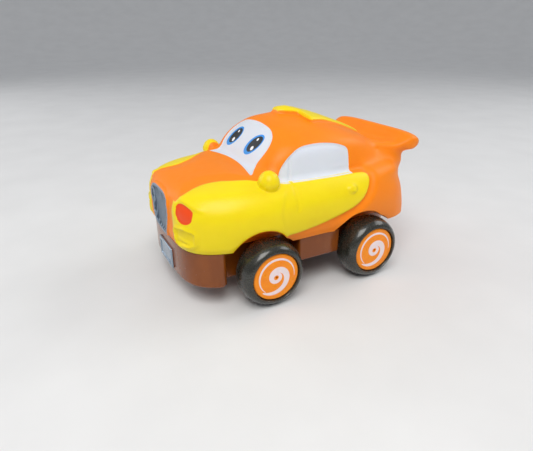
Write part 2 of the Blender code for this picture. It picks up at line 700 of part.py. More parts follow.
def gear_layout():
    """Centres (y, z) and phases of the motor's gears, all in mesh at rest."""
    axle = (REAR_AXLE_Y, AXLE_Z)
    to_drive = radians(DRIVE_GEAR_BEARING)
    drive = polar(axle, centre_distance(PINION_TEETH, DRIVE_WHEEL_TEETH), to_drive)
    to_spring = radians(SPRING_GEAR_BEARING)
    span = centre_distance(PINION_TEETH, SPRING_GEAR_TEETH)
    spring = polar(drive, span, to_spring)
    reach = centre_distance(DRIVE_WHEEL_TEETH, PINION_TEETH)
    along = (reach ** 2 - CLUTCH_DISENGAGED ** 2 + span ** 2) / (2.0 * span)
    to_clutch = to_spring + acos(along / reach)
    clutch = polar(drive, reach, to_clutch)
    drive_phase = meshed_phase(0.0, PINION_TEETH, DRIVE_WHEEL_TEETH, to_drive)
    spring_phase = meshed_phase(drive_phase, PINION_TEETH, SPRING_GEAR_TEETH, to_spring)
    clutch_phase = meshed_phase(drive_phase, DRIVE_WHEEL_TEETH, PINION_TEETH, to_clutch)
    return {"axle": (axle, 0.0), "drive": (drive, drive_phase),
            "spring": (spring, spring_phase), "clutch": (clutch, clutch_phase)}


def gear_mesh(name, teeth, phase, x_range):
    return outline_mesh(name, gear_outline(teeth, phase), x_range[0], x_range[1], axis="X")


def bore(shop, gear, name, radius, at):
    shop.cut(gear, shop.tool(rod_mesh(name, radius, 40.0, segments=24), at))


def motor_gears(shop, rear_joint):
    layout = gear_layout()
    plane_a, plane_b = GEAR_PLANE_A, GEAR_PLANE_B

    centre, phase = layout["axle"]
    at = (0.0, *centre)
    pinion = shop.part(gear_mesh("axle_pinion", PINION_TEETH, phase, plane_a), "white_nylon", at)
    bore(shop, pinion, "axle_pinion_bore", AXLE_RADIUS + 0.2, at)
    hang(pinion, rear_joint)

    centre, phase = layout["drive"]
    at = (0.0, *centre)
    drive_joint = joint_empty(shop, "drive_gear_joint", at)
    wheel_mesh = gear_mesh("drive_gear", DRIVE_WHEEL_TEETH, phase, plane_a)
    drive = shop.part(wheel_mesh, "white_nylon", at)
    small = gear_mesh("drive_gear_pinion", PINION_TEETH, phase, (plane_b[0], plane_a[0] + 0.5))
    shop.join(drive, shop.tool(small, at))
    bore(shop, drive, "drive_gear_bore", GEAR_PIN_RADIUS + RUNNING_CLEARANCE, at)
    hang(drive, drive_joint)

    centre, phase = layout["clutch"]
    at = (0.0, *centre)
    clutch_joint = joint_empty(shop, "clutch_gear_joint", at)
    clutch = shop.part(gear_mesh("clutch_gear", PINION_TEETH, phase, plane_a), "white_nylon", at)
    bore(shop, clutch, "clutch_gear_bore", GEAR_PIN_RADIUS + RUNNING_CLEARANCE, at)
    hang(clutch, clutch_joint)

    centre, phase = layout["spring"]
    at = (0.0, *centre)
    spring_joint = joint_empty(shop, "spring_gear_joint", at)
    spring_gear = shop.part(
        gear_mesh("spring_gear", SPRING_GEAR_TEETH, phase, plane_b), "white_nylon", at
    )
    winding = gear_mesh("winding_pinion", PINION_TEETH, phase, (plane_b[1] - 0.5, plane_a[1]))
    shop.join(spring_gear, shop.tool(winding, at))
    spindle_ends = (CASE_RIGHT_X + 0.3, CASE_LEFT_X - 0.3)
    spindle = rod_mesh("spindle", SPINDLE_RADIUS, spindle_ends[1] - spindle_ends[0])
    shop.join(spring_gear, shop.tool(spindle, (0.5 * sum(spindle_ends), *centre)))
    hang(spring_gear, spring_joint)

    mainspring(shop, layout["spring"][0])
    pins = (("drive_gear_pin", "drive", PARTITION_X[0] + 0.1), ("clutch_gear_pin", "clutch", plane_a[0] - 0.4))
    for name, gear, start in pins:
        end = CASE_LEFT_X - 0.2
        pin = rod_mesh(name, GEAR_PIN_RADIUS, end - start)
        shop.part(pin, "steel", (0.5 * (start + end), *layout[gear][0]))


def mainspring(shop, centre):
    """A flat strip wound in a spiral about the spring gear's spindle."""
    steps = int(SPRING_TURNS * 20)
    inner, outer = [], []
    for step in range(steps + 1):
        t = step / steps
        angle = 2.0 * pi * SPRING_TURNS * t
        radius = SPRING_RADII[0] + (SPRING_RADII[1] - SPRING_RADII[0]) * t
        inner.append((radius * cos(angle), radius * sin(angle)))
        outer.append(((radius + SPRING_THICKNESS) * cos(angle), (radius + SPRING_THICKNESS) * sin(angle)))
    bm = bmesh.new()
    loops = []
    for (a, b), (c, d) in zip(inner, outer):
        corners = ((SPRING_X[0], a, b), (SPRING_X[1], a, b), (SPRING_X[1], c, d), (SPRING_X[0], c, d))
        loops.append([bm.verts.new(metres(corner)) for corner in corners])
    for here, after in zip(loops, loops[1:]):
        for i in range(4):
            j = (i + 1) % 4
            bm.faces.new((here[i], here[j], after[j], after[i]))
    bm.faces.new(loops[0])
    bm.faces.new(loops[-1])
    shop.part(finish_mesh("mainspring", bm), "spring_steel", (0.0, *centre))


def case_half(shop, name, x_open, x_wall):
    """A cup with its closed side at x_wall, open towards x_open."""
    low, high = min(x_open, x_wall), max(x_open, x_wall)
    size = (high - low, CASE_Y[1] - CASE_Y[0], CASE_Z[1] - CASE_Z[0])
    middle = (0.5 * (low + high), 0.5 * sum(CASE_Y), 0.5 * sum(CASE_Z))
    half = shop.part(box_mesh(name, size), "clear_case", middle)
    inward = 1.0 if x_open > x_wall else -1.0
    hollow_size = (size[0], size[1] - 2.0 * CASE_WALL, size[2] - 2.0 * CASE_WALL)
    hollow = box_mesh(f"{name}_hollow", hollow_size)
    shop.cut(half, shop.tool(hollow, add(middle, (inward * CASE_WALL, 0.0, 0.0))))
    side = 1.0 if x_wall > 0.0 else -1.0
    ear_x, ear_y = ear_place(side)
    ear_z = TRAY_FLOOR_Z + TRAY_WALL + GAP + 0.5 * MOTOR_EAR_SIZE[2]
    shop.join(half, shop.tool(box_mesh(f"{name}_ear", MOTOR_EAR_SIZE), (ear_x, ear_y, ear_z)))
    ear_hole = rod_mesh(f"{name}_ear_hole", SCREW_SHANK_RADIUS + GAP, 8.0, axis="Z", segments=16)
    shop.cut(half, shop.tool(ear_hole, (ear_x, ear_y, ear_z)))
    for i, (y, z) in enumerate(CASE_SCREWS):
        boss_length = high - low - 0.8
        boss = rod_mesh(f"{name}_boss_{i}", CASE_BOSS_RADIUS, boss_length, segments=16)
        shop.join(half, shop.tool(boss, (0.5 * (low + high) - inward * 0.3, y, z)))
    for i, (y, z) in enumerate(CASE_SCREWS):
        hole = rod_mesh(f"{name}_screw_hole_{i}", CASE_SCREW_HOLE_RADIUS, 60.0, segments=16)
        shop.cut(half, shop.tool(hole, (0.0, y, z)))
    layout = gear_layout()
    radii = {"axle": AXLE_RADIUS, "spring": SPINDLE_RADIUS}
    if side > 0.0:
        radii.update({"drive": GEAR_PIN_RADIUS, "clutch": GEAR_PIN_RADIUS})
    for gear, radius in radii.items():
        hole = rod_mesh(f"{name}_{gear}_hole", radius + RUNNING_CLEARANCE, 10.0)
        shop.cut(half, shop.tool(hole, (x_wall, *layout[gear][0])))
    return half


def partition(shop):
    """The plate between the gears and the spring."""
    size = (PARTITION_X[1] - PARTITION_X[0], CASE_Y[1] - CASE_Y[0], CASE_Z[1] - CASE_Z[0])
    at = (0.5 * sum(PARTITION_X), 0.5 * sum(CASE_Y), 0.5 * sum(CASE_Z))
    plate = shop.part(box_mesh("motor_partition", size), "clear_case", at)
    layout = gear_layout()
    for gear, radius in (("axle", AXLE_RADIUS), ("spring", SPINDLE_RADIUS), ("drive", GEAR_PIN_RADIUS)):
        hole = rod_mesh(f"partition_{gear}_hole", radius + RUNNING_CLEARANCE, 10.0)
        shop.cut(plate, shop.tool(hole, (at[0], *layout[gear][0])))
    for i, (y, z) in enumerate(CASE_SCREWS):
        hole = rod_mesh(f"partition_screw_hole_{i}", CASE_SCREW_HOLE_RADIUS, 10.0, segments=16)
        shop.cut(plate, shop.tool(hole, (at[0], y, z)))


def motor(shop, rear_joint):
    motor_gears(shop, rear_joint)
    case_half(shop, "motor_case_left", PARTITION_X[1] + GAP, CASE_LEFT_X)
    case_half(shop, "motor_case_right", PARTITION_X[0] - GAP, CASE_RIGHT_X)
    partition(shop)
    for i, (y, z) in enumerate(CASE_SCREWS):
        screw(shop, f"case_screw_{i + 1}", (CASE_LEFT_X + GAP, y, z), 21.0, 1.7, 0.8,
              axis="X", flip=True)
    ear_top = TRAY_FLOOR_Z + TRAY_WALL + GAP + MOTOR_EAR_SIZE[2]
    for i, side in enumerate((1.0, -1.0)):
        x, y = ear_place(side)
        screw(shop, f"motor_screw_{i + 1}", (x, y, ear_top + GAP), 3.6, 1.8, 1.0, flip=True)


def frame_screws(shop):
    for i, (x, y) in enumerate(POSTS):
        screw(shop, f"chassis_screw_{i + 1}", (x, y, SCREW_RECESS_TOP_Z - GAP), 9.0)


def build():
    clear_scene()
    shop = Workshop()
    body_shell(shop)
    chassis_tray(shop)
    inner_frame(shop)
    frame_screws(shop)
    front_bushes(shop)
    wheelset(shop, "front", FRONT_AXLE_Y)
    rear_joint = wheelset(shop, "rear", REAR_AXLE_Y)
    motor(shop, rear_joint)


build()
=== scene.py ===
import json
from math import cos, pi, radians, sin

import bmesh
import bpy
import numpy as np
from mathutils import Matrix, Vector
from mathutils.kdtree import KDTree


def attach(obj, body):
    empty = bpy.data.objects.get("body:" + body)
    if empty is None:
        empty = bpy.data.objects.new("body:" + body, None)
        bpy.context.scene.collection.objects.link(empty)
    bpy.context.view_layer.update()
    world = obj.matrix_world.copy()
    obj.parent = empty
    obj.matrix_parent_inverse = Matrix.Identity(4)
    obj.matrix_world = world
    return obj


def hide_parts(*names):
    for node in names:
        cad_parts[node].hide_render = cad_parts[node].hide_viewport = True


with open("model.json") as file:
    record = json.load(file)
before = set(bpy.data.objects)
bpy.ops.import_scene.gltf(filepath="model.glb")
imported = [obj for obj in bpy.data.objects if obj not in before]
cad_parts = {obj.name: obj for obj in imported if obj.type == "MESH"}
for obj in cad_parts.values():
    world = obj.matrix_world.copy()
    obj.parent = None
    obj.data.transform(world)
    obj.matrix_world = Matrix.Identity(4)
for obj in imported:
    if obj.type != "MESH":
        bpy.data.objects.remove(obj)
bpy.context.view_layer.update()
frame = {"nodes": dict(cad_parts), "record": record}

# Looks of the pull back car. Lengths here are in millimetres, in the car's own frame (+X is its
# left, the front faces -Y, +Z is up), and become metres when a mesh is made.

MM = 0.001
GAP = 0.3

# The body's rings, as the CAD has them: (front y, rear y, half width, z at the front, z at the
# sides, z at the rear, squareness of the front half, squareness of the rear half).
LIP_Z = 24.5
RINGS = (
    (-56.0, 51.0, 33.6, LIP_Z, LIP_Z, LIP_Z, 4.6, 7.0),
    (-57.0, 54.1, 35.2, 28.0, 28.5, 28.0, 4.4, 4.3),
    (-57.0, 54.5, 36.3, 35.0, 35.0, 35.0, 4.2, 3.4),
    (-57.0, 53.4, 35.6, 41.0, 41.0, 42.0, 3.8, 3.0),
    (-54.6, 49.3, 32.5, 45.3, 46.0, 47.5, 3.4, 4.0),
    (-44.0, 48.0, 28.6, 47.6, 48.6, 51.0, 3.2, 3.2),
    (-25.0, 44.5, 27.6, 50.6, 52.0, 53.4, 4.8, 2.8),
    (-22.3, 40.6, 27.0, 54.2, 56.0, 55.9, 4.6, 2.6),
    (-18.8, 35.0, 25.4, 58.8, 60.0, 58.3, 4.0, 2.5),
    (-12.5, 22.5, 18.6, 65.6, 64.3, 63.3, 3.2, 2.2),
    (-5.5, 11.0, 9.0, 68.7, 67.2, 67.3, 2.4, 2.0),
)
ROOF_TOP = (0.0, 1.0, 69.7)
WAIST_Y = 4.0  # where the front and rear halves of a ring meet
WIDEST_RING = 2
SEGMENT_ROWS = (8, 12, 12, 14, 24, 28, 14, 14, 22, 24, 22)  # grid rows from each ring to the next
COWL_ROWS = (sum(SEGMENT_ROWS[:5]) + 12, sum(SEGMENT_ROWS[:7]) + 16)  # hood's end to the glass
COWL_PASSES = 60
COLUMNS = 384
CAVITY_COLUMNS = 72
WALL = 1.8
FLANGE_WIDTH = 2.7
FLANGE_TOP_Z = 26.3
FIRST_SHOULDER_RING = 4

# Running gear
AXLE_Z = WHEEL_RADIUS = 13.7
AXLES = {"front": -24.5, "rear": 24.5}  # y of each axle
TYRE_OUTER_X = 40.0
TYRE_INNER_X = 27.4
TYRE_LOW_RADIUS = 10.4  # where the tyre's round starts
HUB_RADIUS = 9.0
DISC_RADIUS = 9.9
DISC_FACE_RADIUS = 9.3
WHEEL_ARCHES = (  # y, z and radius of the round openings about each axle
    (-24.5, 13.7, 15.2), (-27.7, 20.5, 12.1), (24.5, 13.7, 15.2), (19.3, 17.0, 15.0),
)
WELL_INNER_X = 26.2
WELL_WALL = 1.6

# Rear wing: (y, half width, low z, high z, squareness) of upright rounded sections.
WING_SECTIONS = (
    (30.0, 17.5, 53.6, 58.0, 3.0),
    (36.0, 20.6, 52.6, 56.8, 3.4),
    (41.0, 23.6, 51.5, 56.0, 4.0),
    (45.0, 25.8, 51.0, 56.0, 4.2),
    (48.0, 26.9, 50.7, 57.6, 4.4),
    (51.0, 27.6, 50.5, 59.4, 4.4),
    (54.0, 27.4, 51.1, 59.2, 4.2),
    (56.0, 26.6, 52.4, 58.0, 3.8),
    (57.0, 25.6, 53.8, 56.4, 3.2),
)
PEDESTAL_SECTIONS = (
    (31.0, 19.0, 46.0, 54.5, 3.0),
    (38.0, 23.5, 43.0, 54.5, 3.4),
    (45.0, 25.2, 40.5, 54.0, 3.6),
    (49.5, 24.4, 40.0, 53.0, 3.4),
    (52.0, 21.0, 42.0, 51.0, 3.0),
)

# Roof strip: (y, half width, height over the roof).
STRIP = (
    (-3.6, 2.6, 2.0), (-1.0, 3.9, 2.1), (3.0, 4.7, 2.0), (5.0, 6.0, 2.0), (6.6, 12.4, 1.9),
    (8.6, 12.6, 1.8), (14.0, 11.2, 1.8), (23.0, 9.0, 1.7), (33.0, 5.8, 1.6), (40.0, 2.9, 1.3),
    (44.5, 0.7, 0.9),
)

# Painted areas on the body, each drawn on the plane that it faces.
DOOR_OUTLINE = (  # (y, z)
    (-90.0, 10.0), (-19.5, 10.0), (-19.0, 25.0), (-17.5, 28.0), (-12.2, 28.6), (-2.4, 30.3),
    (8.9, 33.3), (13.8, 35.1), (17.8, 37.4), (20.8, 40.7), (22.9, 44.6), (22.2, 46.9), (18.0, 47.5),
    (8.0, 47.5), (-1.9, 47.6), (-10.0, 47.7), (-17.0, 47.9), (-21.0, 49.6), (-26.0, 54.0),
    (-40.0, 60.0), (-90.0, 60.0),
)
FENDER_SEAM = (  # (y, |x|): the yellow fenders lie outside it
    (-70.0, 15.4), (-56.6, 15.4), (-55.7, 16.6), (-53.9, 17.5), (-51.2, 17.4), (-47.0, 16.0),
    (-43.0, 15.6), (-37.7, 17.5), (-33.6, 20.5), (-29.5, 23.2), (-25.9, 25.7), (-22.0, 26.4),
    (-19.0, 25.0), (-16.0, 22.0), (-10.0, 20.0), (40.0, 20.0),
)
SIDE_WINDOW = (  # (y, z)
    (-18.2, 38.0), (-18.0, 42.0), (-17.8, 46.4), (-16.8, 50.8), (-14.6, 54.2), (-11.4, 57.2),
    (-6.2, 59.8), (1.6, 60.4), (9.0, 59.7), (13.6, 58.4), (15.8, 57.0), (16.3, 54.5), (16.1, 48.0),
    (15.7, 42.0), (15.7, 38.0),
)
WINDSCREEN = (  # (|x|, z), with its lower edge set by HOOD_EDGE
    (-12.0, 45.0), (0.0, 45.0), (12.0, 45.0), (23.0, 45.0), (24.6, 47.5), (23.8, 49.4), (21.2, 50.4),
    (18.6, 51.5), (17.8, 53.4), (18.5, 56.2), (18.3, 59.2), (16.6, 61.8), (14.1, 63.6), (11.2, 64.8),
    (7.8, 65.5), (3.6, 65.9), (0.0, 66.0), (-12.0, 66.0),
)
HOOD_EDGE = (  # (|x|, y) of the hood's rear edge, against the windscreen
    (-8.0, -24.5), (0.0, -24.2), (7.4, -24.5), (13.7, -25.2), (19.3, -26.1), (24.0, -26.9),
    (30.0, -28.0),
)
GRILLE = (  # (|x|, z)
    (-7.0, 44.2), (0.0, 44.2), (6.6, 43.9), (10.0, 42.4), (11.4, 39.6), (11.1, 36.0), (9.9, 32.0),
    (8.1, 28.0), (5.8, 25.2), (0.0, 24.0), (-7.0, 24.0),
)
HEADLIGHT = (  # (|x|, z)
    (18.4, 42.6), (20.2, 43.3), (22.6, 42.9), (25.2, 41.6), (26.0, 40.0), (26.0, 37.8),
    (24.4, 36.3), (21.6, 36.2), (19.4, 37.6), (18.4, 40.2),
)
FOG_LAMP = (  # (|x|, z)
    (17.2, 33.3), (20.6, 34.4), (24.6, 34.4), (27.4, 33.6), (27.6, 30.0), (26.4, 27.9),
    (22.8, 26.9), (19.4, 26.7), (17.8, 28.6),
)
CREASE = ((24.0, -17.0), (28.2, -17.2), (36.0, -20.0), (40.3, -19.8), (45.0, -17.2), (49.0, -13.2))
WINDOW_GROOVE = ((46.0, -13.2), (50.7, -12.2), (56.0, -11.7), (60.0, -11.2))
HANDLE_AT = (12.8, 42.4)  # y, z
HANDLE_HALF = (2.3, 1.7)

# Printed spirals, in turns about the axle
ARC_START = radians(-8.0)
ARC_TURNS = 0.66
ARC_RADII = (8.0, 1.0)  # at its start, and the loss over a whole turn
CURL_START = radians(-140.0)
CURL_RADII = (1.25, 7.1, 2.1)  # at its centre, the rest at its start, and how fast that fades
CURL_HALF_WIDTH = ((0.0, 0.2), (0.12, 0.9), (0.37, 1.3), (0.62, 1.2), (0.87, 1.0), (1.1, 0.8),
                   (1.37, 0.75), (1.6, 0.6), (1.8, 0.3), (2.0, 0.0))

# Heights and depths of the body's moulded relief
FENDER_RISE = 0.45
CREASE_RISE = 0.55
WINDOW_SINK = 0.55
GROOVE_DEPTH = 0.4
GLASS_SINK = 0.4
HOOD_RISE = 0.8
HANDLE_RISE = 1.1
HEADLIGHT_SINK = 0.5
LID_RISE = 0.5
FOG_RIM_RISE = 0.6
FOG_SINK = 0.45
FOG_BAR_RISE = 0.35
GRILLE_RIM_RISE = 0.7
GRILLE_SINK = 0.6
HAUNCH_RISE = 0.9
HAUNCH_GROOVE = 0.6

# Mirrors, their long axis upright
MIRROR_AT = (29.0, -22.4, 48.2)
MIRROR_HALF = (4.6, 4.3, 5.4)

# Eyes: plain ovals on the windscreen
EYE_AT = (9.1, 58.5)  # |x| and z of the centre
EYE_HALF = (5.6, 3.8)
EYE_LEAN = radians(46.0)
EYE_SHIFT = -1.0  # the print sits a little to the car's right
GLASS_SLOPE = 0.85  # rise in z for a step up the glass
PUPIL_AT = (0.6, 0.1)  # along and across the eye, from its centre
PUPIL_SHARE = 0.77  # of the eye's size
GLINTS = ((-0.5, 1.5, 1.0, 0.95), (2.3, -1.2, 0.65, 0.6))  # place, and half sizes

# Chassis
TRAY_FLOOR_Z = 9.0
TRAY_TOP_Z = LIP_Z - GAP
TRAY_WALL = 1.8
TRAY_POINTS = 320
BUMPER_REAR_Y = -41.0
BUMPER_HALF_WIDTH = 30.5
BUMPER_CORNER = 2.0
TAIL_REAR_Y = 50.3
TAIL_SQUARENESS = 4.2
NECK_HALF_WIDTH = 24.3
SKIRT_HALF_WIDTH = 32.8
SKIRT_HALF_LENGTH = 10.2
SKIRT_BOTTOM_Z = 13.5
PLATE_SIZE = (16.6, 1.2, 8.8)
PLATE_Z = 15.1
PLATE_PROUD = 0.9
PLATE_RIM = 1.2
PLATE_PAINT = (8.95, -56.15, 4.45)  # half width, the y that it lies in front of, half height
POSTS = ((16.0, -43.5), (-16.0, -43.5), (16.0, 34.0), (-16.0, 34.0))
SCREW_RECESS_RADIUS = 2.4
SCREW_RECESS_TOP_Z = TRAY_FLOOR_Z + 2.2
MOTOR_OPENING = ((-12.6, 13.1), (11.1, 44.5))  # low and high (x, y)


# ---------------------------------------------------------------- shapes


def power(value, exponent):
    return np.sign(value) * np.abs(value) ** exponent


def ramp(value, start, end):
    """0 before start and 1 after end, with a smooth rise between."""
    t = np.clip((value - start) / (end - start), 0.0, 1.0)
    return t * t * (3.0 - 2.0 * t)


def ring_points(ring, angles):
    """Points of a body ring. Angle 0 is the front and a quarter turn is the left side."""
    front, rear, half_width, z_front, z_side, z_rear, n_front, n_rear = ring
    ahead = np.cos(angles)
    in_front = ahead > 0.0
    squareness = np.where(in_front, n_front, n_rear)
    reach = np.where(in_front, WAIST_Y - front, rear - WAIST_Y)
    z_end = np.where(in_front, z_front, z_rear)
    return np.stack([
        half_width * power(np.sin(angles), 2.0 / squareness),
        WAIST_Y - reach * power(ahead, 2.0 / squareness),
        z_side + (z_end - z_side) * ahead ** 2,
    ], axis=1)


def even_angles(count):
    """Ring angles whose points are evenly spaced round the widest ring."""
    ease = 0.5 - 0.5 * np.cos(pi * np.linspace(0.0, 1.0, 2001))
    fine = np.concatenate([(quarter + ease[:-1]) * 0.5 * pi for quarter in range(4)] + [[2.0 * pi]])
    steps = np.linalg.norm(np.diff(ring_points(RINGS[WIDEST_RING], fine), axis=0), axis=1)
    arc = np.concatenate([[0.0], np.cumsum(steps)])
    return np.interp(np.arange(count) * arc[-1] / count, arc, fine)


def catmull_rom(p0, p1, p2, p3, f):
    return 0.5 * (
        2.0 * p1 + (p2 - p0) * f + (2.0 * p0 - 5.0 * p1 + 4.0 * p2 - p3) * f * f
        + (3.0 * p1 - p0 - 3.0 * p2 + p3) * f ** 3
    )


def spline_rows(controls, counts):
    """Rows on the curves through the controls, with counts[i] rows from control i to the next."""
    ends = [2.0 * controls[0] - controls[1]], [2.0 * controls[-1] - controls[-2]]
    padded = ends[0] + list(controls) + ends[1]
    return [catmull_rom(*padded[i:i + 4], step / count)
            for i, count in enumerate(counts) for step in range(count)]


def smooth_outline(points, steps=6, closed=True):
    """A curve through an outline's points."""
    points = [np.array(p, float) for p in points]
    if closed:
        padded = [points[-1]] + points + points[:2]
    else:
        padded = [2.0 * points[0] - points[1]] + points + [2.0 * points[-1] - points[-2]]
    spans = len(padded) - 3
    return np.array([catmull_rom(*padded[i:i + 4], s / steps)
                     for i in range(spans) for s in range(steps)])


def inside_distance(points, outline):
    """Distance from 2-D points to a closed outline: positive inside it."""
    nearest = np.full(len(points), np.inf)
    inside = np.zeros(len(points), bool)
    for a, b in zip(outline, np.roll(outline, -1, axis=0)):
        edge = b - a
        t = np.clip(((points - a) @ edge) / max(edge @ edge, 1e-12), 0.0, 1.0)
        nearest = np.minimum(nearest, np.linalg.norm(points - a - t[:, None] * edge, axis=1))
        crosses = (a[1] > points[:, 1]) != (b[1] > points[:, 1])
        rise = b[1] - a[1] if b[1] != a[1] else 1e-12
        inside ^= crosses & (points[:, 0] < a[0] + (points[:, 1] - a[1]) * edge[0] / rise)
    return np.where(inside, nearest, -nearest)


def curve_at(curve, values):
    """The second coordinate of a curve, as a function of its first."""
    fine = smooth_outline(curve, 8, closed=False)
    return np.interp(values, fine[:, 0], fine[:, 1])


def new_object(name, mesh):
    item = bpy.data.objects.new(name, mesh)
    bpy.context.scene.collection.objects.link(item)
    return item


def finish_mesh(name, bm, sharp_angle=40.0):
    bmesh.ops.recalc_face_normals(bm, faces=bm.faces)
    mesh = bpy.data.meshes.new(name)
    bm.to_mesh(mesh)
    bm.free()
    mesh.shade_smooth()
    mesh.set_sharp_from_angle(angle=radians(sharp_angle))
    return mesh


def rows_mesh(name, rows, top=None, sharp_angle=40.0):
    """A closed solid through closed rows of points, capped flat or by a single top point."""
    bm = bmesh.new()
    loops = [[bm.verts.new(Vector(p) * MM) for p in row] for row in rows]
    count = len(loops[0])
    for low, high in zip(loops, loops[1:]):
        for i in range(count):
            j = (i + 1) % count
            bm.faces.new((low[i], low[j], high[j], high[i]))
    if top is None:
        bm.faces.new(loops[-1])
    else:
        tip = bm.verts.new(Vector(top) * MM)
        for i in range(count):
            bm.faces.new((loops[-1][i], loops[-1][(i + 1) % count], tip))
    bm.faces.new(list(reversed(loops[0])))
    return finish_mesh(name, bm, sharp_angle)


def rod(name, radius, length, at, axis="X", segments=96):
    """A cylinder used as a cutter, about its own centre."""
    bm = bmesh.new()
    bmesh.ops.create_cone(bm, cap_ends=True, segments=segments, radius1=radius * MM,
                          radius2=radius * MM, depth=length * MM)
    if axis == "X":
        bmesh.ops.rotate(bm, matrix=Matrix.Rotation(0.5 * pi, 3, "Y"), verts=bm.verts)
    bmesh.ops.translate(bm, vec=Vector(at) * MM, verts=bm.verts)
    return new_object(name, finish_mesh(name, bm))


def rounded_box(name, size, at, radius, segments=4):
    """A box with rounded edges, used as a form."""
    bm = bmesh.new()
    bmesh.ops.create_cube(bm, size=1.0)
    bmesh.ops.scale(bm, vec=Vector(size) * MM, verts=bm.verts)
    bmesh.ops.bevel(bm, geom=bm.edges, offset=radius * MM, segments=segments, profile=0.5,
                    affect="EDGES")
    bmesh.ops.translate(bm, vec=Vector(at) * MM, verts=bm.verts)
    return new_object(name, finish_mesh(name, bm))


def combine(item, tools, operation):
    """Applies a boolean with each tool in turn, and removes the tools."""
    for tool in tools:
        modifier = item.modifiers.new(tool.name, "BOOLEAN")
        modifier.operation = operation
        modifier.solver = "MANIFOLD"
        modifier.object = tool
    bpy.context.view_layer.update()
    graph = bpy.context.evaluated_depsgraph_get()
    mesh = bpy.data.meshes.new_from_object(item.evaluated_get(graph))
    item.modifiers.clear()
    item.data = mesh
    for tool in tools:
        bpy.data.objects.remove(tool)
    return item


def mesh_points(mesh):
    points = np.empty(3 * len(mesh.vertices))
    mesh.vertices.foreach_get("co", points)
    return points.reshape(-1, 3) / MM


def set_points(mesh, points):
    mesh.vertices.foreach_set("co", (points * MM).ravel())
    mesh.update()


def soften_seams(item, tags, reach, passes):
    """Blends the creases where differently tagged faces of a union meet."""
    mesh = item.data
    material = np.empty(len(mesh.polygons), int)
    mesh.polygons.foreach_get("material_index", material)
    owners = {}
    for polygon in mesh.polygons:
        for vertex in polygon.vertices:
            owners.setdefault(vertex, set()).add(int(material[polygon.index]))
    seam = [v for v, found in owners.items() if len(found) > 1 and found & tags]
    points = mesh_points(mesh)
    tree = KDTree(len(seam))
    for i, v in enumerate(seam):
        tree.insert(points[v], i)
    tree.balance()
    low, high = points[seam].min(axis=0) - reach, points[seam].max(axis=0) + reach
    near = np.where(((points > low) & (points < high)).all(axis=1))[0]
    weight = np.zeros(len(points))
    for v in near:
        weight[v] = 1.0 - min(tree.find(points[v])[2] / reach, 1.0)
    weight = ramp(weight, 0.0, 1.0)[:, None]
    edges = np.empty(2 * len(mesh.edges), int)
    mesh.edges.foreach_get("vertices", edges)
    a, b = edges.reshape(-1, 2).T
    degree = np.bincount(edges, minlength=len(points))[:, None]
    for _ in range(passes):
        total = np.zeros_like(points)
        np.add.at(total, a, points[b])
        np.add.at(total, b, points[a])
        points += 0.6 * weight * (total / degree - points)
    set_points(mesh, points)


# ---------------------------------------------------------------- the body's paint and relief


def paint_distances(p):
    """Distance inside each painted area of the body, in mm, at each point."""
    x, y, z = np.abs(p[:, 0]), p[:, 1], p[:, 2]
    side, front = np.stack([y, z], 1), np.stack([x, z], 1)
    found = {}
    door = inside_distance(side, smooth_outline(DOOR_OUTLINE))
    fender = np.minimum(door, 0.85 * (x - curve_at(FENDER_SEAM, y)))
    for arch_y, arch_z, radius in WHEEL_ARCHES:
        fender = np.minimum(fender, np.hypot(y - arch_y, z - arch_z) - radius - 0.2)
    found["fender"] = fender
    mirror = np.stack([(x - MIRROR_AT[0]), (y - MIRROR_AT[1]), (z - MIRROR_AT[2])], 1)
    out = np.linalg.norm(mirror / np.array(MIRROR_HALF), axis=1)
    found["mirror"] = np.minimum(4.0 * (1.12 - out), x - 26.4)
    window = inside_distance(side, smooth_outline(SIDE_WINDOW))
    found["side_window"] = np.minimum(window, x - 14.0)
    glass = inside_distance(front, smooth_outline(WINDSCREEN))
    glass = np.minimum(glass, y - curve_at(HOOD_EDGE, x))
    found["windscreen"] = np.minimum(glass, -6.0 - y)
    ahead = -44.0 - y
    found["grille"] = np.minimum(inside_distance(front, smooth_outline(GRILLE)), ahead)
    found["headlight"] = np.minimum(inside_distance(front, smooth_outline(HEADLIGHT)), ahead)
    found["fog_lamp"] = np.minimum(inside_distance(front, smooth_outline(FOG_LAMP)), ahead)
    widths = curve_at([s[:2] for s in STRIP], y)
    along = np.minimum(y - STRIP[0][0], STRIP[-1][0] - y)
    found["strip"] = np.minimum(np.minimum(widths - x, along), z - 50.0)
    return found


def eye_distances(p):
    """Ring, pupil and highlights of the two eyes, as distances inside them."""
    ring = np.full(len(p), -9.0)
    pupil, glint = ring.copy(), ring.copy()
    for side in (1.0, -1.0):
        across = p[:, 0] - side * EYE_AT[0] - EYE_SHIFT
        up = (p[:, 2] - EYE_AT[1]) / GLASS_SLOPE
        a = across * sin(EYE_LEAN) + up * cos(EYE_LEAN)
        b = across * cos(EYE_LEAN) - up * sin(EYE_LEAN)
        a = np.where(p[:, 1] < -6.0, a, 99.0)

        def oval(at_a, at_b, half_a, half_b):
            return min(half_a, half_b) * (1.0 - np.hypot((a - at_a) / half_a, (b - at_b) / half_b))
        ring = np.maximum(ring, oval(0.0, 0.0, *EYE_HALF))
        pupil = np.maximum(pupil, oval(*PUPIL_AT, EYE_HALF[0] * PUPIL_SHARE, EYE_HALF[1] * PUPIL_SHARE))
        for spot in GLINTS:
            glint = np.maximum(glint, oval(*spot))
    return {"eye_ring": ring, "pupil": pupil, "glint": glint}


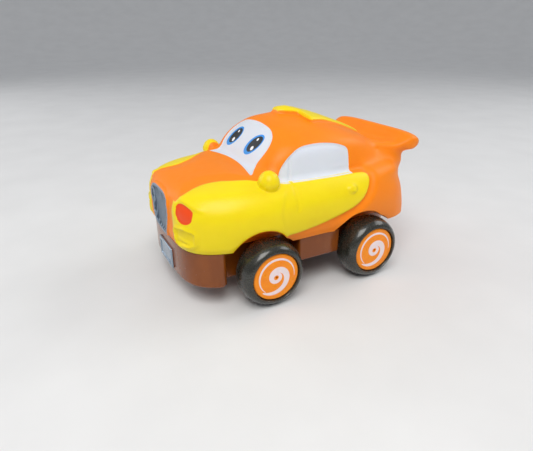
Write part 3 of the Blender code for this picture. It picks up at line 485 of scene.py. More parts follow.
def relief(p):
    """How far the moulded relief stands out of the smooth body, in mm."""
    x, y, z = np.abs(p[:, 0]), p[:, 1], p[:, 2]
    d = paint_distances(p)
    height = FENDER_RISE * ramp(d["fender"], -0.9, 1.0) * ramp(z, 23.5, 27.0)
    crease = curve_at(CREASE, z)
    forward = crease - y
    height += CREASE_RISE * ramp(forward, -0.8, 1.4) * ramp(-forward, -26.0, -4.0) \
        * ramp(x, 26.0, 33.0) * ramp(-z, -47.5, -43.0)
    height -= WINDOW_SINK * ramp(d["side_window"], -0.3, 0.7) * (1.0 - ramp(d["fender"], -0.4, 0.1))
    groove = np.abs(y - curve_at(WINDOW_GROOVE, z))
    height -= GROOVE_DEPTH * (1.0 - ramp(groove, 0.2, 0.8)) * ramp(d["side_window"], 0.0, 0.8)
    height -= GLASS_SINK * ramp(d["windscreen"], -0.3, 0.7)
    hood = np.minimum(curve_at(FENDER_SEAM, y) - x, np.minimum(y + 56.0, -25.0 - y))
    height += HOOD_RISE * ramp(hood, -1.0, 8.0) * ramp(z, 43.0, 47.0) * (z < 53.0)
    handle = np.hypot((y - HANDLE_AT[0]) / HANDLE_HALF[0], (z - HANDLE_AT[1]) / HANDLE_HALF[1])
    height += HANDLE_RISE * (1.0 - ramp(handle, 0.65, 1.15)) * (x > 20.0)
    height -= HEADLIGHT_SINK * ramp(d["headlight"], -0.2, 0.4)
    lid = z - 43.6 + 0.3 * (x - 19.0)
    height += LID_RISE * ramp(lid, -0.2, 0.5) * (1.0 - ramp(lid, 0.9, 2.0)) \
        * ramp(d["headlight"], -3.0, -1.4) * (x > 17.5)
    fog = d["fog_lamp"]
    height += FOG_RIM_RISE * (1.0 - ramp(np.abs(fog - 0.2), 0.3, 0.8)) - FOG_SINK * ramp(fog, 0.6, 1.2)
    bar = np.abs(z - 29.9 + 0.12 * (x - 17.0))
    height += FOG_BAR_RISE * (1.0 - ramp(bar, 0.2, 0.9)) * ramp(fog, 0.4, 1.2)
    grille = d["grille"]
    height += GRILLE_RIM_RISE * (1.0 - ramp(np.abs(grille - 0.5), 0.4, 1.3))
    height -= GRILLE_SINK * ramp(grille, 1.0, 2.0)
    rise = curve_at([(s[0], s[2]) for s in STRIP], y)
    across = np.clip(d["strip"] / 2.6, 0.0, 1.0)
    height += rise * (0.55 * ramp(d["strip"], -0.8, 0.8) + 0.45 * np.sqrt(across * (2.0 - across)))
    behind = -inside_distance(np.stack([y, z], 1), smooth_outline(DOOR_OUTLINE))
    haunch = ramp(y, 2.0, 12.0) * ramp(-z, -52.0, -44.0) * ramp(x, 17.0, 25.0)
    height += haunch * (HAUNCH_RISE * ramp(behind, 1.4, 5.0) * ramp(-y, -50.0, -38.0)
                        - HAUNCH_GROOVE * ramp(behind, 0.2, 0.9) * (1.0 - ramp(behind, 1.6, 3.2)))
    return height


def grid_normals(grid):
    around = np.roll(grid, -1, axis=1) - np.roll(grid, 1, axis=1)
    normals = np.cross(around, np.gradient(grid, axis=0))
    return normals / np.maximum(np.linalg.norm(normals, axis=2, keepdims=True), 1e-9)


def body_surface():
    """The body as one smooth dome with its moulded relief."""
    angles = even_angles(COLUMNS)
    top = np.tile(ROOF_TOP, (COLUMNS, 1))
    grid = np.array(spline_rows([ring_points(r, angles) for r in RINGS] + [top], SEGMENT_ROWS))
    low, high = COWL_ROWS
    for _ in range(COWL_PASSES):  # rounds the cowl, where the hood turns up into the windscreen
        grid[low:high] = 0.5 * grid[low:high] + 0.25 * (grid[low - 1:high - 1] + grid[low + 1:high + 1])
    normals = grid_normals(grid)
    flat = grid.reshape(-1, 3)
    grid = grid + relief(flat).reshape(grid.shape[:2] + (1,)) * normals
    tip = Vector(ROOF_TOP) + Vector((0.0, 0.0, STRIP[2][2]))
    return new_object("body_form", rows_mesh("body_form", grid, tip, 60.0))


def section_points(section, count=64):
    y, half_width, low, high, squareness = section
    angles = 2.0 * pi * (np.arange(count) + 0.5) / count
    return np.stack([
        half_width * power(np.cos(angles), 2.0 / squareness),
        np.full(count, y),
        0.5 * (low + high) + 0.5 * (high - low) * power(np.sin(angles), 2.0 / squareness),
    ], axis=1)


def deck_dip(y):
    """How far the middle of the wing's deck lies below its ends."""
    return 2.6 * ramp(y, 28.0, 37.0) * (1.0 - ramp(y, 46.0, 51.5))


def section_form(name, sections, dip=None):
    """A solid, smooth through upright rounded sections."""
    controls = [np.array(s) for s in sections]
    rows = spline_rows(controls, (10,) * (len(controls) - 1)) + [controls[-1]]
    loops = []
    for section in rows:
        points = section_points(section)
        if dip is not None:
            upper = points[:, 2] > 0.5 * (section[2] + section[3])
            middle = np.clip(1.0 - (points[:, 0] / (0.82 * section[1])) ** 2, 0.0, 1.0)
            points[:, 2] -= np.where(upper, dip(section[0]) * middle, 0.0)
        loops.append(points)
    return new_object(name, rows_mesh(name, loops))


def mirror_form(side):
    """A teardrop, narrower at its foot."""
    bm = bmesh.new()
    bmesh.ops.create_uvsphere(bm, u_segments=40, v_segments=28, radius=1.0)
    for vertex in bm.verts:
        x, y, z = vertex.co
        slim = 1.0 - 0.42 * ramp(np.float64(-z), -0.3, 1.0)
        local = Vector((x * slim, y * slim, z)) * MM
        local = Vector(a * b for a, b in zip(local, MIRROR_HALF))
        vertex.co = local + Vector((side * MIRROR_AT[0], *MIRROR_AT[1:])) * MM
    return new_object(f"mirror_form_{side:+.0f}", finish_mesh("mirror_form", bm, 60.0))


def wells(name, wall, inner_x):
    """Cylinders that clear the wheels and shape the arches, outward from inner_x."""
    outer_x = TYRE_OUTER_X + 8.0
    found = []
    for side in (1.0, -1.0):
        for y, z, radius in WHEEL_ARCHES:
            at = (side * 0.5 * (outer_x + inner_x), y, z)
            found.append(rod(f"{name}_{len(found)}", radius + wall, outer_x - inner_x, at))
    return found


def inset_ring(ring, inset, drop):
    front, rear, half_width, z_front, z_side, z_rear, n_front, n_rear = ring
    return (front + inset, rear - inset, half_width - inset,
            z_front - drop, z_side - drop, z_rear - drop, n_front, n_rear)


def cavity_form():
    """The hollow inside the body, above the narrower mouth of its flange."""
    angles = 2.0 * pi * (np.arange(CAVITY_COLUMNS) + 0.5) / CAVITY_COLUMNS
    top = np.array(ROOF_TOP) - (0.0, 0.0, WALL)
    rings = [inset_ring(ring, WALL, 0.0 if i < FIRST_SHOULDER_RING else WALL)
             for i, ring in enumerate(RINGS)]
    controls = [ring_points(ring, angles) for ring in rings] + [np.tile(top, (CAVITY_COLUMNS, 1))]
    rows = [row for row in spline_rows(controls, (3,) * len(rings)) if row[0][2] > FLANGE_TOP_Z + 1.0]
    mouth = ring_points(inset_ring(RINGS[0], WALL + FLANGE_WIDTH, 0.0), angles)
    wide = ring_points(inset_ring(RINGS[0], WALL, 0.0), angles)
    low = []
    for ring, z in ((mouth, LIP_Z - 6.0), (mouth, FLANGE_TOP_Z), (wide, FLANGE_TOP_Z + 0.2)):
        low.append(np.column_stack([ring[:, :2], np.full(len(ring), z)]))
    form = new_object("cavity_form", rows_mesh("cavity_form", low + rows, top))
    return combine(form, wells("liner", WELL_WALL, WELL_INNER_X - WELL_WALL), "DIFFERENCE")


TAGS = BODY_TAG, WING_TAG, PEDESTAL_TAG, MIRROR_TAG = range(4)


def tag(item, index):
    """Marks a form's faces, so that the seams of a union can be found."""
    for _ in TAGS:
        item.data.materials.append(None)
    item.data.polygons.foreach_set("material_index", [index] * len(item.data.polygons))
    return item


def paint(item, material, layers, sharp_angle):
    """Gives a piece its one material, and stores the distances that the material paints by."""
    mesh = item.data
    mesh.materials.clear()
    mesh.polygons.foreach_set("material_index", [0] * len(mesh.polygons))
    mesh.materials.append(material)
    for name, values in layers.items():
        attribute = mesh.attributes.new(name, "FLOAT", "POINT")
        attribute.data.foreach_set("value", values)
    mesh.shade_smooth()
    mesh.set_sharp_from_angle(angle=radians(sharp_angle))


def body():
    item = tag(body_surface(), BODY_TAG)
    forms = [section_form("wing_form", WING_SECTIONS, deck_dip),
             section_form("pedestal_form", PEDESTAL_SECTIONS)]
    combine(item, [tag(form, WING_TAG + i) for i, form in enumerate(forms)], "UNION")
    soften_seams(item, {WING_TAG, PEDESTAL_TAG}, 6.0, 80)
    combine(item, [tag(mirror_form(side), MIRROR_TAG) for side in (1.0, -1.0)], "UNION")
    soften_seams(item, {MIRROR_TAG}, 0.9, 6)
    combine(item, wells("well", 0.0, WELL_INNER_X) + [cavity_form()], "DIFFERENCE")
    points = mesh_points(item.data)
    layers = paint_distances(points)
    layers.update(eye_distances(points))
    paint(item, vinyl_material(), layers, 50.0)
    item.name = item.data.name = "vinyl_body"
    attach(item, "car")
    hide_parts("body_shell")


# ---------------------------------------------------------------- chassis


def bumper_arc(inset, limit_y, limit_x):
    """Points of the body's lip in plan, from the front's centre to near the bumper's corner."""
    ease = 0.5 - 0.5 * np.cos(pi * np.linspace(0.0, 1.0, 61))
    points = ring_points(inset_ring(RINGS[0], inset, 0.0), 0.5 * pi * ease)
    return [(x, y) for x, y, _ in points if y < limit_y and x < limit_x]


def tail_arc(inset):
    """Points in plan from the chassis's side round to its rear centre."""
    angles = 0.5 * pi * (1.0 - np.linspace(0.0, 1.0, 33))
    x = (NECK_HALF_WIDTH - inset) * power(np.sin(angles), 2.0 / TAIL_SQUARENESS)
    y = (TAIL_REAR_Y - WAIST_Y - inset) * power(np.cos(angles), 2.0 / TAIL_SQUARENESS)
    return [(float(a), float(WAIST_Y + b)) for a, b in zip(x, y)]


def corner(at, radius, start, steps=6):
    """A quarter turn about a point, from a start angle in quarter turns, anticlockwise."""
    return [(at[0] + radius * cos(0.5 * pi * (start + s / steps)),
             at[1] + radius * sin(0.5 * pi * (start + s / steps))) for s in range(steps + 1)]


def tray_outline(inset):
    """The chassis in plan, moved in by inset: a wide bumper, then a narrower round-ended tail."""
    bumper, neck = BUMPER_HALF_WIDTH - inset, NECK_HALF_WIDTH - inset
    rear = BUMPER_REAR_Y - inset
    half = bumper_arc(inset, rear - BUMPER_CORNER, bumper - 0.2)
    half += corner((bumper - BUMPER_CORNER, rear - BUMPER_CORNER), BUMPER_CORNER, 0.0)
    half += [(neck, rear)] + tail_arc(inset)
    return half + [(-x, y) for x, y in reversed(half) if abs(x) > 1e-6]


def resampled(outline, count=TRAY_POINTS):
    """The same closed outline with evenly spaced points."""
    closed = np.array(outline + outline[:1])
    arc = np.concatenate([[0.0], np.cumsum(np.linalg.norm(np.diff(closed, axis=0), axis=1))])
    even = np.arange(count) * arc[-1] / count
    return np.stack([np.interp(even, arc, closed[:, 0]), np.interp(even, arc, closed[:, 1])], 1)


def tray_rows(inset, low, high, radius):
    """Outlines from low to high z, with a round of the given radius along the bottom edge."""
    rows = []
    for step in range(7):
        turn = 0.5 * pi * step / 6.0
        rows.append((inset + radius * (1.0 - sin(turn)), low + radius * (1.0 - cos(turn))))
    rows.append((inset, high))
    return [np.column_stack([resampled(tray_outline(i)), np.full(TRAY_POINTS, z)]) for i, z in rows]


def chassis():
    tray = new_object("chassis_form",
                      rows_mesh("chassis_form", tray_rows(0.0, TRAY_FLOOR_Z, TRAY_TOP_Z, 1.6)))
    height = TRAY_TOP_Z - SKIRT_BOTTOM_Z
    skirt = rounded_box("skirt_form",
                        (2.0 * SKIRT_HALF_WIDTH, 2.0 * SKIRT_HALF_LENGTH, height + 3.0),
                        (0.0, 0.0, SKIRT_BOTTOM_Z + 0.5 * height + 1.5), 1.2)
    plate_y = RINGS[0][0] + 0.5 * PLATE_SIZE[1] - PLATE_PROUD
    plate = rounded_box("plate_form", PLATE_SIZE, (0.0, plate_y, PLATE_Z), 0.5)
    field = rounded_box("plate_field",
                        (PLATE_SIZE[0] - 2.0 * PLATE_RIM, 1.0, PLATE_SIZE[2] - 2.0 * PLATE_RIM),
                        (0.0, plate_y - 0.5 * PLATE_SIZE[1] - 0.1, PLATE_Z), 0.3)
    combine(tray, [skirt, plate], "UNION")
    # The trim cuts off the rounded top of the skirt, level with the tray.
    top_trim = rounded_box("top_trim", (90.0, 130.0, 8.0), (0.0, 0.0, TRAY_TOP_Z + 4.0), 0.01, 1)
    hollow = new_object("tray_hollow", rows_mesh("tray_hollow", tray_rows(
        TRAY_WALL, TRAY_FLOOR_Z + TRAY_WALL, TRAY_TOP_Z + 2.0, 0.8)))
    pocket = rounded_box("skirt_hollow", (
        2.0 * (SKIRT_HALF_WIDTH - TRAY_WALL), 2.0 * (SKIRT_HALF_LENGTH - TRAY_WALL), 14.0),
        (0.0, 0.0, SKIRT_BOTTOM_Z + TRAY_WALL + 7.0), 0.5)
    combine(tray, [top_trim, hollow, pocket, field], "DIFFERENCE")
    bosses = [rod(f"boss_{i}", 3.4, 3.6, (x, y, TRAY_FLOOR_Z + 2.2), "Z", 32)
              for i, (x, y) in enumerate(POSTS)]
    combine(tray, bosses, "UNION")
    cuts = []
    for i, (x, y) in enumerate(POSTS):
        recess_at = (x, y, SCREW_RECESS_TOP_Z - 3.0)
        cuts.append(rod(f"recess_{i}", SCREW_RECESS_RADIUS, 6.0, recess_at, "Z", 40))
        cuts.append(rod(f"hole_{i}", 1.3, 12.0, (x, y, TRAY_FLOOR_Z + 4.0), "Z", 24))
    cuts.append(rod("bush_hole", 2.7, 60.0, (0.0, AXLES["front"], AXLE_Z), "X", 40))
    cuts.append(rod("axle_hole", 2.25, 60.0, (0.0, AXLES["rear"], AXLE_Z), "X", 40))
    (x0, y0), (x1, y1) = MOTOR_OPENING
    cuts.append(rounded_box("motor_opening", (x1 - x0, y1 - y0, 8.0),
                            (0.5 * (x0 + x1), 0.5 * (y0 + y1), TRAY_FLOOR_Z), 0.4))
    combine(tray, cuts, "DIFFERENCE")
    points = mesh_points(tray.data)
    half_width, front_y, half_height = PLATE_PAINT
    silver = np.minimum(half_height - np.abs(points[:, 2] - PLATE_Z), half_width - np.abs(points[:, 0]))
    silver = np.minimum(silver, front_y - points[:, 1])
    paint(tray, gloss_plastic_material(), {"plate": silver}, 35.0)
    tray.name = tray.data.name = "chassis"
    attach(tray, "car")
    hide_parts("chassis_tray")


# ---------------------------------------------------------------- wheels


def turned(name, profile, segments, at, side):
    """A closed profile of (x, radius) turned about the X axis, mirrored for the right side."""
    bm = bmesh.new()
    rings = []
    for step in range(segments):
        angle = 2.0 * pi * step / segments
        rings.append([bm.verts.new(Vector((side * x + at[0], r * cos(angle) + at[1],
                                           r * sin(angle) + at[2])) * MM) for x, r in profile])
    for here, after in zip(rings, rings[1:] + rings[:1]):
        for i in range(len(profile)):
            j = (i + 1) % len(profile)
            bm.faces.new((here[i], here[j], after[j], after[i]))
    return new_object(name, finish_mesh(name, bm, 32.0))


def tyre_profile():
    """A plump tyre: a wide crown, round shoulders, a lip round the disc and a straight bore."""
    width = TYRE_OUTER_X - TYRE_INNER_X
    middle = TYRE_INNER_X + 0.5 * width
    crown = []
    for turn in np.linspace(0.0, pi, 41):
        x = middle - 0.5 * width * np.cos(turn)
        r = TYRE_LOW_RADIUS + (WHEEL_RADIUS - TYRE_LOW_RADIUS) * power(np.sin(turn), 0.95)
        crown.append((float(x), float(r)))
    seat = TYRE_OUTER_X - 1.6
    lip = [(TYRE_OUTER_X - 0.25, 10.25), (seat, 10.2), (seat, HUB_RADIUS + GAP)]
    back = [(TYRE_INNER_X + 0.4, HUB_RADIUS + GAP), (TYRE_INNER_X + 0.1, HUB_RADIUS + 0.7)]
    return crown + lip + back


def tyre(end, side_name, side, material):
    name = f"tyre_{end}_{side_name}"
    item = turned(f"soft_{name}", tyre_profile(), 128, (0.0, AXLES[end], AXLE_Z), side)
    item.data.materials.append(material)
    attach(item, f"{end}_wheelset")
    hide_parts(name)


def swirl(radius, angle):
    """Distance inside the printed spiral, in mm: a thin outer arc and a thick inner curl."""
    turn = (angle - ARC_START) % (2.0 * pi) / (2.0 * pi)
    best = 0.5 * (0.2 + 0.75 * np.sin(pi * np.clip(turn / ARC_TURNS, 0.0, 1.0))) \
        - np.abs(radius - (ARC_RADII[0] - ARC_RADII[1] * turn))
    best = np.where(turn < ARC_TURNS, best, -1.0)
    turn = (angle - CURL_START) % (2.0 * pi) / (2.0 * pi)
    for lap in range(2):
        total = turn + lap
        half = curve_at(CURL_HALF_WIDTH, total)
        middle = CURL_RADII[0] + CURL_RADII[1] * np.exp(-CURL_RADII[2] * total)
        best = np.maximum(best, half - np.abs(radius - middle))
    return best


def disc(end, side_name, side, material):
    """The hub disc: slightly domed, with a rounded rim. Its face carries the printed spiral."""
    name = f"hub_disc_{end}_{side_name}"
    outer = TYRE_OUTER_X - 0.4
    profile = [(outer - 0.15 * (r / DISC_FACE_RADIUS) ** 2, float(r))
               for r in np.linspace(0.5, DISC_FACE_RADIUS, 45)]
    profile += [(outer - 0.15 - 0.45 * (1.0 - cos(t)), DISC_FACE_RADIUS + 0.6 * sin(t))
                for t in np.linspace(0.25, 1.2, 4)]
    profile += [(outer - 1.2, DISC_RADIUS - 0.05), (outer - 1.2, 0.5)]
    item = turned(f"printed_{name}", profile, 144, (0.0, AXLES[end], AXLE_Z), side)
    bm = bmesh.new()
    bm.from_mesh(item.data)
    bmesh.ops.holes_fill(bm, edges=[e for e in bm.edges if e.is_boundary])
    bm.to_mesh(item.data)
    bm.free()
    points = mesh_points(item.data)
    y, z = points[:, 1] - AXLES[end], points[:, 2] - AXLE_Z
    values = swirl(np.hypot(y, z), np.arctan2(z, side * y))
    values = np.where(side * points[:, 0] > outer - 0.4, values, -1.0)
    attribute = item.data.attributes.new("swirl", "FLOAT", "POINT")
    attribute.data.foreach_set("value", values)
    item.data.materials.append(material)
    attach(item, f"{end}_wheelset")
    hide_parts(name)


# ---------------------------------------------------------------- materials


class Shader:
    """Builds one procedural material around a Principled shader."""

    def __init__(self, name, **values):
        self.material = bpy.data.materials.new(name)
        self.material.use_nodes = True
        self.tree = self.material.node_tree
        self.surface = self.tree.nodes["Principled BSDF"]
        self.place = self.tree.nodes.new("ShaderNodeTexCoord").outputs["Object"]
        for key, value in values.items():
            self.put(self.surface.inputs[key.replace("_", " ")], value)

    def put(self, socket, value):
        """Links an output to a socket, or sets the socket's value."""
        if isinstance(value, bpy.types.NodeSocket):
            self.tree.links.new(value, socket)
        elif socket.type == "RGBA":
            socket.default_value = (*value, 1.0)
        else:
            socket.default_value = value

    def node(self, kind, output, settings=(), **values):
        """The named output of a new node with these settings and inputs."""
        node = self.tree.nodes.new(kind)
        for key, value in dict(settings).items():
            setattr(node, key, value)
        for key, value in values.items():
            self.put(node.inputs[key.replace("_", " ")], value)
        return node.outputs[output]

    def noise(self, size, detail=3.0, roughness=0.5, stretch=None):
        """Noise from 0 to 1 whose features are about size mm across."""
        place = self.place
        if stretch:
            place = self.node("ShaderNodeMapping", "Vector", Vector=place, Scale=stretch)
        return self.node("ShaderNodeTexNoise", "Fac", Vector=place, Scale=1.0 / (size * MM),
                         Detail=detail, Roughness=roughness)

    def between(self, value, low, high, start=0.0, end=1.0):
        """A value from low to high, carried smoothly to start to end."""
        return self.node("ShaderNodeMapRange", "Result", {"interpolation_type": "SMOOTHSTEP"},
                         Value=value, From_Min=low, From_Max=high, To_Min=start, To_Max=end)

    def linear(self, value, low, high, start, end):
        """A value from low to high, carried evenly to start to end."""
        return self.node("ShaderNodeMapRange", "Result", Value=value, From_Min=low,
                         From_Max=high, To_Min=start, To_Max=end)

    def inside(self, name, softness=0.1, shift=0.0):
        """1 more than shift mm inside a painted area stored on the mesh, and 0 outside."""
        stored = self.node("ShaderNodeAttribute", "Fac", {"attribute_name": name})
        return self.between(stored, shift - softness, shift + softness)

    def mix(self, factor, a, b):
        """Colour a where the factor is 0 and colour b where it is 1."""
        node = self.tree.nodes.new("ShaderNodeMix")
        node.data_type = "RGBA"
        self.put(node.inputs[0], factor)
        self.put(node.inputs[6], a)
        self.put(node.inputs[7], b)
        return node.outputs[2]

    def blend(self, factor, a, b):
        """Number a where the factor is 0 and number b where it is 1."""
        node = self.tree.nodes.new("ShaderNodeMix")
        self.put(node.inputs[0], factor)
        self.put(node.inputs[2], a)
        self.put(node.inputs[3], b)
        return node.outputs[0]

    def math(self, operation, a, b=0.0):
        """The result of one operation on two numbers."""
        node = self.tree.nodes.new("ShaderNodeMath")
        node.operation = operation
        self.put(node.inputs[0], a)
        self.put(node.inputs[1], b)
        return node.outputs[0]

    def bump(self, height, depth, normal=None):
        """A bump whose height of 0 to 1 is depth mm."""
        values = {"Height": height, "Distance": depth * MM, "Strength": 1.0}
        if normal is not None:
            values["Normal"] = normal
        return self.node("ShaderNodeBump", "Normal", **values)

    def finish(self, **values):
        """Connects the last inputs of the surface, and returns the material."""
        for key, value in values.items():
            self.put(self.surface.inputs[key.replace("_", " ")], value)
        return self.material


def tint(colour):
    """A colour given as sRGB from 0 to 255, in the linear values that shaders take."""
    return tuple((c / 255.0 / 12.92) if c < 10.3 else ((c / 255.0 + 0.055) / 1.055) ** 2.4
                 for c in colour)


ORANGE = tint((255, 138, 10))
DEEP_ORANGE = tint((246, 118, 8))
YELLOW = tint((246, 222, 14))
DEEP_YELLOW = tint((236, 204, 14))
WHITE = tint((222, 227, 236))
SILVER = tint((150, 166, 182))
# darker grey painted into the grille's grooves as shade in the recesses
GRILLE_GROOVE_PAINTED_SHADE = tint((92, 106, 122))
SLAT_PITCH = 1.9
HEADLIGHT_RED = tint((240, 78, 26))
EYE_BLUE = tint((46, 146, 232))
NEAR_BLACK = tint((14, 16, 24))


def vinyl_material():
    """Soft orange vinyl with sprayed areas: satin, faintly mottled, paint a little thicker."""
    s = Shader("painted_vinyl", IOR=1.45, Specular_IOR_Level=0.32, Coat_Weight=0.05, Coat_Roughness=0.3,
               Subsurface_Weight=0.06, Subsurface_Scale=0.0015)
    mottle = s.noise(9.0, 4.0)
    colour = s.mix(s.between(mottle, 0.3, 0.75), ORANGE, DEEP_ORANGE)
    colour = s.mix(0.82, colour, ORANGE)
    yellow = s.mix(s.linear(mottle, 0.3, 0.7, 0.0, 0.3), YELLOW, DEEP_YELLOW)
    white = s.inside("side_window")
    white = s.math("MAXIMUM", white, s.inside("windscreen"))
    glass = s.mix(s.linear(s.noise(14.0), 0.3, 0.7, 0.0, 0.25), WHITE, tint((206, 213, 228)))
    colour = s.mix(white, colour, glass)
    painted = white
    for name, softness, coat in (
            ("fender", 0.12, yellow), ("mirror", 0.1, yellow), ("strip", 0.12, yellow),
            ("headlight", 0.1, HEADLIGHT_RED), ("eye_ring", 0.08, EYE_BLUE),
            ("pupil", 0.08, NEAR_BLACK), ("glint", 0.08, tint((250, 251, 252)))):
        mask = s.inside(name, softness)
        colour = s.mix(mask, colour, coat)
        painted = s.math("MAXIMUM", painted, mask)
    # Silver grille. The grooves between its slats, inside the rim, are painted darker grey: painted
    # shade in the recesses, over the bump that sinks them.
    silver = s.inside("grille", 0.12)
    x = s.node("ShaderNodeSeparateXYZ", "X", Vector=s.place)
    slat = s.math("PINGPONG", s.math("ABSOLUTE", x), 0.5 * SLAT_PITCH * MM)
    slat = s.between(slat, 0.12 * SLAT_PITCH * MM, 0.3 * SLAT_PITCH * MM)
    hollow = s.inside("grille", 0.25, 1.1)
    groove = s.math("MULTIPLY", slat, hollow)
    colour = s.mix(silver, colour, s.mix(groove, SILVER, GRILLE_GROOVE_PAINTED_SHADE))
    grain = s.noise(0.5, 2.0)
    waves = s.noise(7.0, 2.0)
    rough = s.blend(painted, 0.44, 0.36)
    rough = s.math("ADD", rough, s.linear(s.noise(3.0), 0.3, 0.7, -0.03, 0.03))
    normal = s.bump(waves, 0.05)
    normal = s.bump(grain, 0.006, normal)
    normal = s.bump(painted, 0.02, normal)
    normal = s.bump(s.math("SUBTRACT", 1.0, groove), 0.5, normal)
    return s.finish(Base_Color=colour, Roughness=rough, Normal=normal,
                    Metallic=s.math("MULTIPLY", silver, 0.75))


def gloss_plastic_material():
    """Glossy brown moulding, its number plate sprayed silver."""
    s = Shader("brown_moulding", IOR=1.46, Specular_IOR_Level=0.4, Coat_Weight=0.25, Coat_Roughness=0.08)
    plate = s.inside("plate", 0.1)
    streaks = s.noise(6.0, 3.0, 0.6, (1.0, 1.0, 0.4))
    colour = s.mix(s.between(streaks, 0.35, 0.7), tint((128, 64, 12)), tint((138, 72, 18)))
    colour = s.mix(plate, colour, SILVER)
    rough = s.linear(s.noise(1.2, 4.0), 0.3, 0.75, 0.18, 0.28)
    normal = s.bump(s.noise(5.0, 2.0), 0.05)
    normal = s.bump(s.noise(0.4, 2.0), 0.003, normal)
    return s.finish(Base_Color=colour, Roughness=rough, Normal=normal,
                    Metallic=s.math("MULTIPLY", plate, 0.7))


def tyre_material():
    """Glossy near-black vinyl with fine handling marks."""
    s = Shader("glossy_tyre", IOR=1.5, Coat_Weight=0.35, Coat_Roughness=0.12)
    colour = s.mix(s.between(s.noise(5.0, 4.0), 0.3, 0.75), tint((38, 38, 33)), tint((50, 50, 42)))
    rough = s.linear(s.noise(0.9, 4.0, 0.6), 0.3, 0.75, 0.2, 0.34)
    normal = s.bump(s.noise(4.0, 2.0), 0.05)
    normal = s.bump(s.noise(0.3, 2.0), 0.003, normal)
    return s.finish(Base_Color=colour, Roughness=rough, Normal=normal)


def disc_material():
    """Orange disc with a white printed spiral."""
    s = Shader("printed_disc", IOR=1.45, Specular_IOR_Level=0.35, Coat_Weight=0.2, Coat_Roughness=0.1)
    mask = s.inside("swirl", 0.09)
    colour = s.mix(s.between(s.noise(3.0), 0.3, 0.75), tint((255, 148, 0)), tint((252, 138, 0)))
    colour = s.mix(mask, colour, tint((244, 226, 228)))
    rough = s.linear(s.noise(1.5, 3.0), 0.3, 0.7, 0.26, 0.34)
    normal = s.bump(mask, 0.02, s.bump(s.noise(2.5), 0.02))
    return s.finish(Base_Color=colour, Roughness=rough, Normal=normal)


def moulded_material(name, light, dark, roughness, metallic=0.0):
    """Plain moulded or drawn stock for the inner pieces: mottled colour and a fine grain."""
    s = Shader(name, Metallic=metallic)
    colour = s.mix(s.between(s.noise(4.0, 4.0), 0.3, 0.75), tint(light), tint(dark))
    rough = s.linear(s.noise(0.8, 3.0), 0.3, 0.7, roughness - 0.06, roughness + 0.06)
    return s.finish(Base_Color=colour, Roughness=rough, Normal=s.bump(s.noise(0.35, 3.0), 0.008))


def dress_cad_nodes():
    """Gives each carried-over CAD node whose slot in the record has a finish here that finish."""
    finishes = {
        "grey_plastic": moulded_material("grey_moulding", (152, 152, 154), (136, 137, 140), 0.45),
        "white_nylon": moulded_material("white_nylon_moulding", (232, 231, 224), (220, 218, 208), 0.42),
        "clear_case": moulded_material("grey_case", (196, 200, 206), (182, 187, 194), 0.32),
        "steel": moulded_material("zinc_steel", (206, 208, 212), (182, 185, 190), 0.3, 1.0),
        "spring_steel": moulded_material("blued_steel", (112, 118, 130), (90, 96, 110), 0.34, 1.0),
    }
    slots = {p["node"]: p["material_slot"] for p in frame["record"]["subparts"]}
    for name, item in frame["nodes"].items():
        finish = finishes.get(slots[name])
        if finish is None:
            continue
        if not item.material_slots:
            item.data.materials.append(finish)
        for place in item.material_slots:
            place.material = finish


# ---------------------------------------------------------------- scene, in metres

FLOOR_RADII = np.concatenate([np.linspace(0.2, 1.0, 5), np.linspace(1.1, 3.2, 24)])
FLOOR_RISE = (1.0, 3.4, 1.9)  # radii where the rise starts and ends, and its height
FLOOR_SIDES = 72
CAMERA_AT = (0.16863, -0.09827, 0.10295)
CAMERA_ROUND = radians(61.797)  # from the front, towards the car's left
CAMERA_DOWN = radians(24.29)
CAMERA_LENS = 29.874  # on a sensor 36 wide
SKY = ((0.92, 0.95, 1.0, 1.0), 0.43)
LIGHTS_AIM = (0.0, 0.0, 0.03)


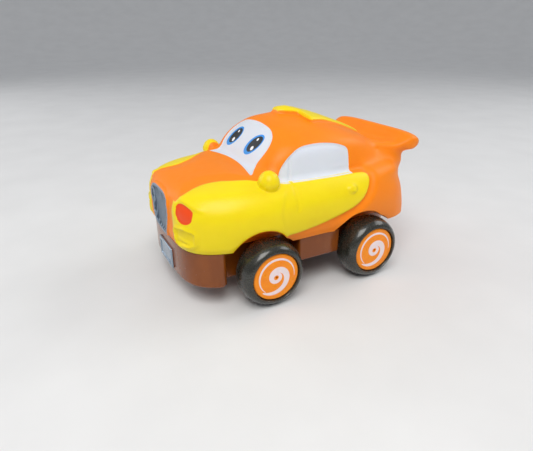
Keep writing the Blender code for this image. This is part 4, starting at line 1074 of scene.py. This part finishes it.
def floor():
    """A pale studio sweep: flat under the car, rising far around it."""
    bm = bmesh.new()
    rings = []
    start, end, rise = FLOOR_RISE
    for radius in FLOOR_RADII:
        height = rise * float(ramp(radius, start, end)) ** 1.5
        turns = [2.0 * pi * i / FLOOR_SIDES for i in range(FLOOR_SIDES)]
        rings.append([bm.verts.new((radius * cos(t), radius * sin(t), height)) for t in turns])
    bm.faces.new(rings[0])
    for low, high in zip(rings, rings[1:]):
        for i in range(FLOOR_SIDES):
            j = (i + 1) % FLOOR_SIDES
            bm.faces.new((low[i], high[i], high[j], low[j]))
    item = new_object("floor", finish_mesh("floor", bm, 60.0))
    s = Shader("pale_floor", Roughness=0.75)
    grain = s.noise(40.0, 4.0)
    item.data.materials.append(s.finish(
        Base_Color=s.mix(s.linear(grain, 0.3, 0.7, 0.0, 1.0), (0.74, 0.74, 0.74), (0.78, 0.78, 0.78))))


def area_light(name, at, aim, size, watts, colour=(1.0, 1.0, 1.0)):
    data = bpy.data.lights.new(name, "AREA")
    data.shape = "RECTANGLE"
    data.size, data.size_y = size
    data.energy = watts
    data.color = colour
    item = new_object(name, data)
    item.location = at
    item.rotation_euler = (Vector(aim) - Vector(at)).to_track_quat("-Z", "Y").to_euler()


def lights():
    world = bpy.data.worlds.new("studio")
    bpy.context.scene.world = world
    world.use_nodes = True
    background = world.node_tree.nodes["Background"]
    background.inputs["Color"].default_value = SKY[0]
    background.inputs["Strength"].default_value = SKY[1]
    area_light("key", (0.35, -0.25, 0.65), LIGHTS_AIM, (0.45, 0.45), 3.9, (1.0, 0.98, 0.95))
    area_light("fill", (-0.55, -0.45, 0.35), LIGHTS_AIM, (0.5, 0.5), 1.1)
    area_light("back", (0.1, 0.6, 0.5), LIGHTS_AIM, (0.5, 0.3), 1.3)


def camera():
    data = bpy.data.cameras.new("camera")
    data.sensor_fit = "HORIZONTAL"
    data.sensor_width = 36.0
    data.lens = CAMERA_LENS
    data.clip_start = 0.01
    item = new_object("camera", data)
    item.location = CAMERA_AT
    item.rotation_euler = (0.5 * pi - CAMERA_DOWN, 0.0, CAMERA_ROUND)
    bpy.context.scene.camera = item


def look():
    view = bpy.context.scene.view_settings
    view.view_transform = "Standard"


def build():
    camera()
    lights()
    floor()
    look()
    body()
    chassis()
    rubber, print_finish = tyre_material(), disc_material()
    for end in AXLES:
        for side_name, side in (("left", 1.0), ("right", -1.0)):
            tyre(end, side_name, side, rubber)
            disc(end, side_name, side, print_finish)
    dress_cad_nodes()


build()
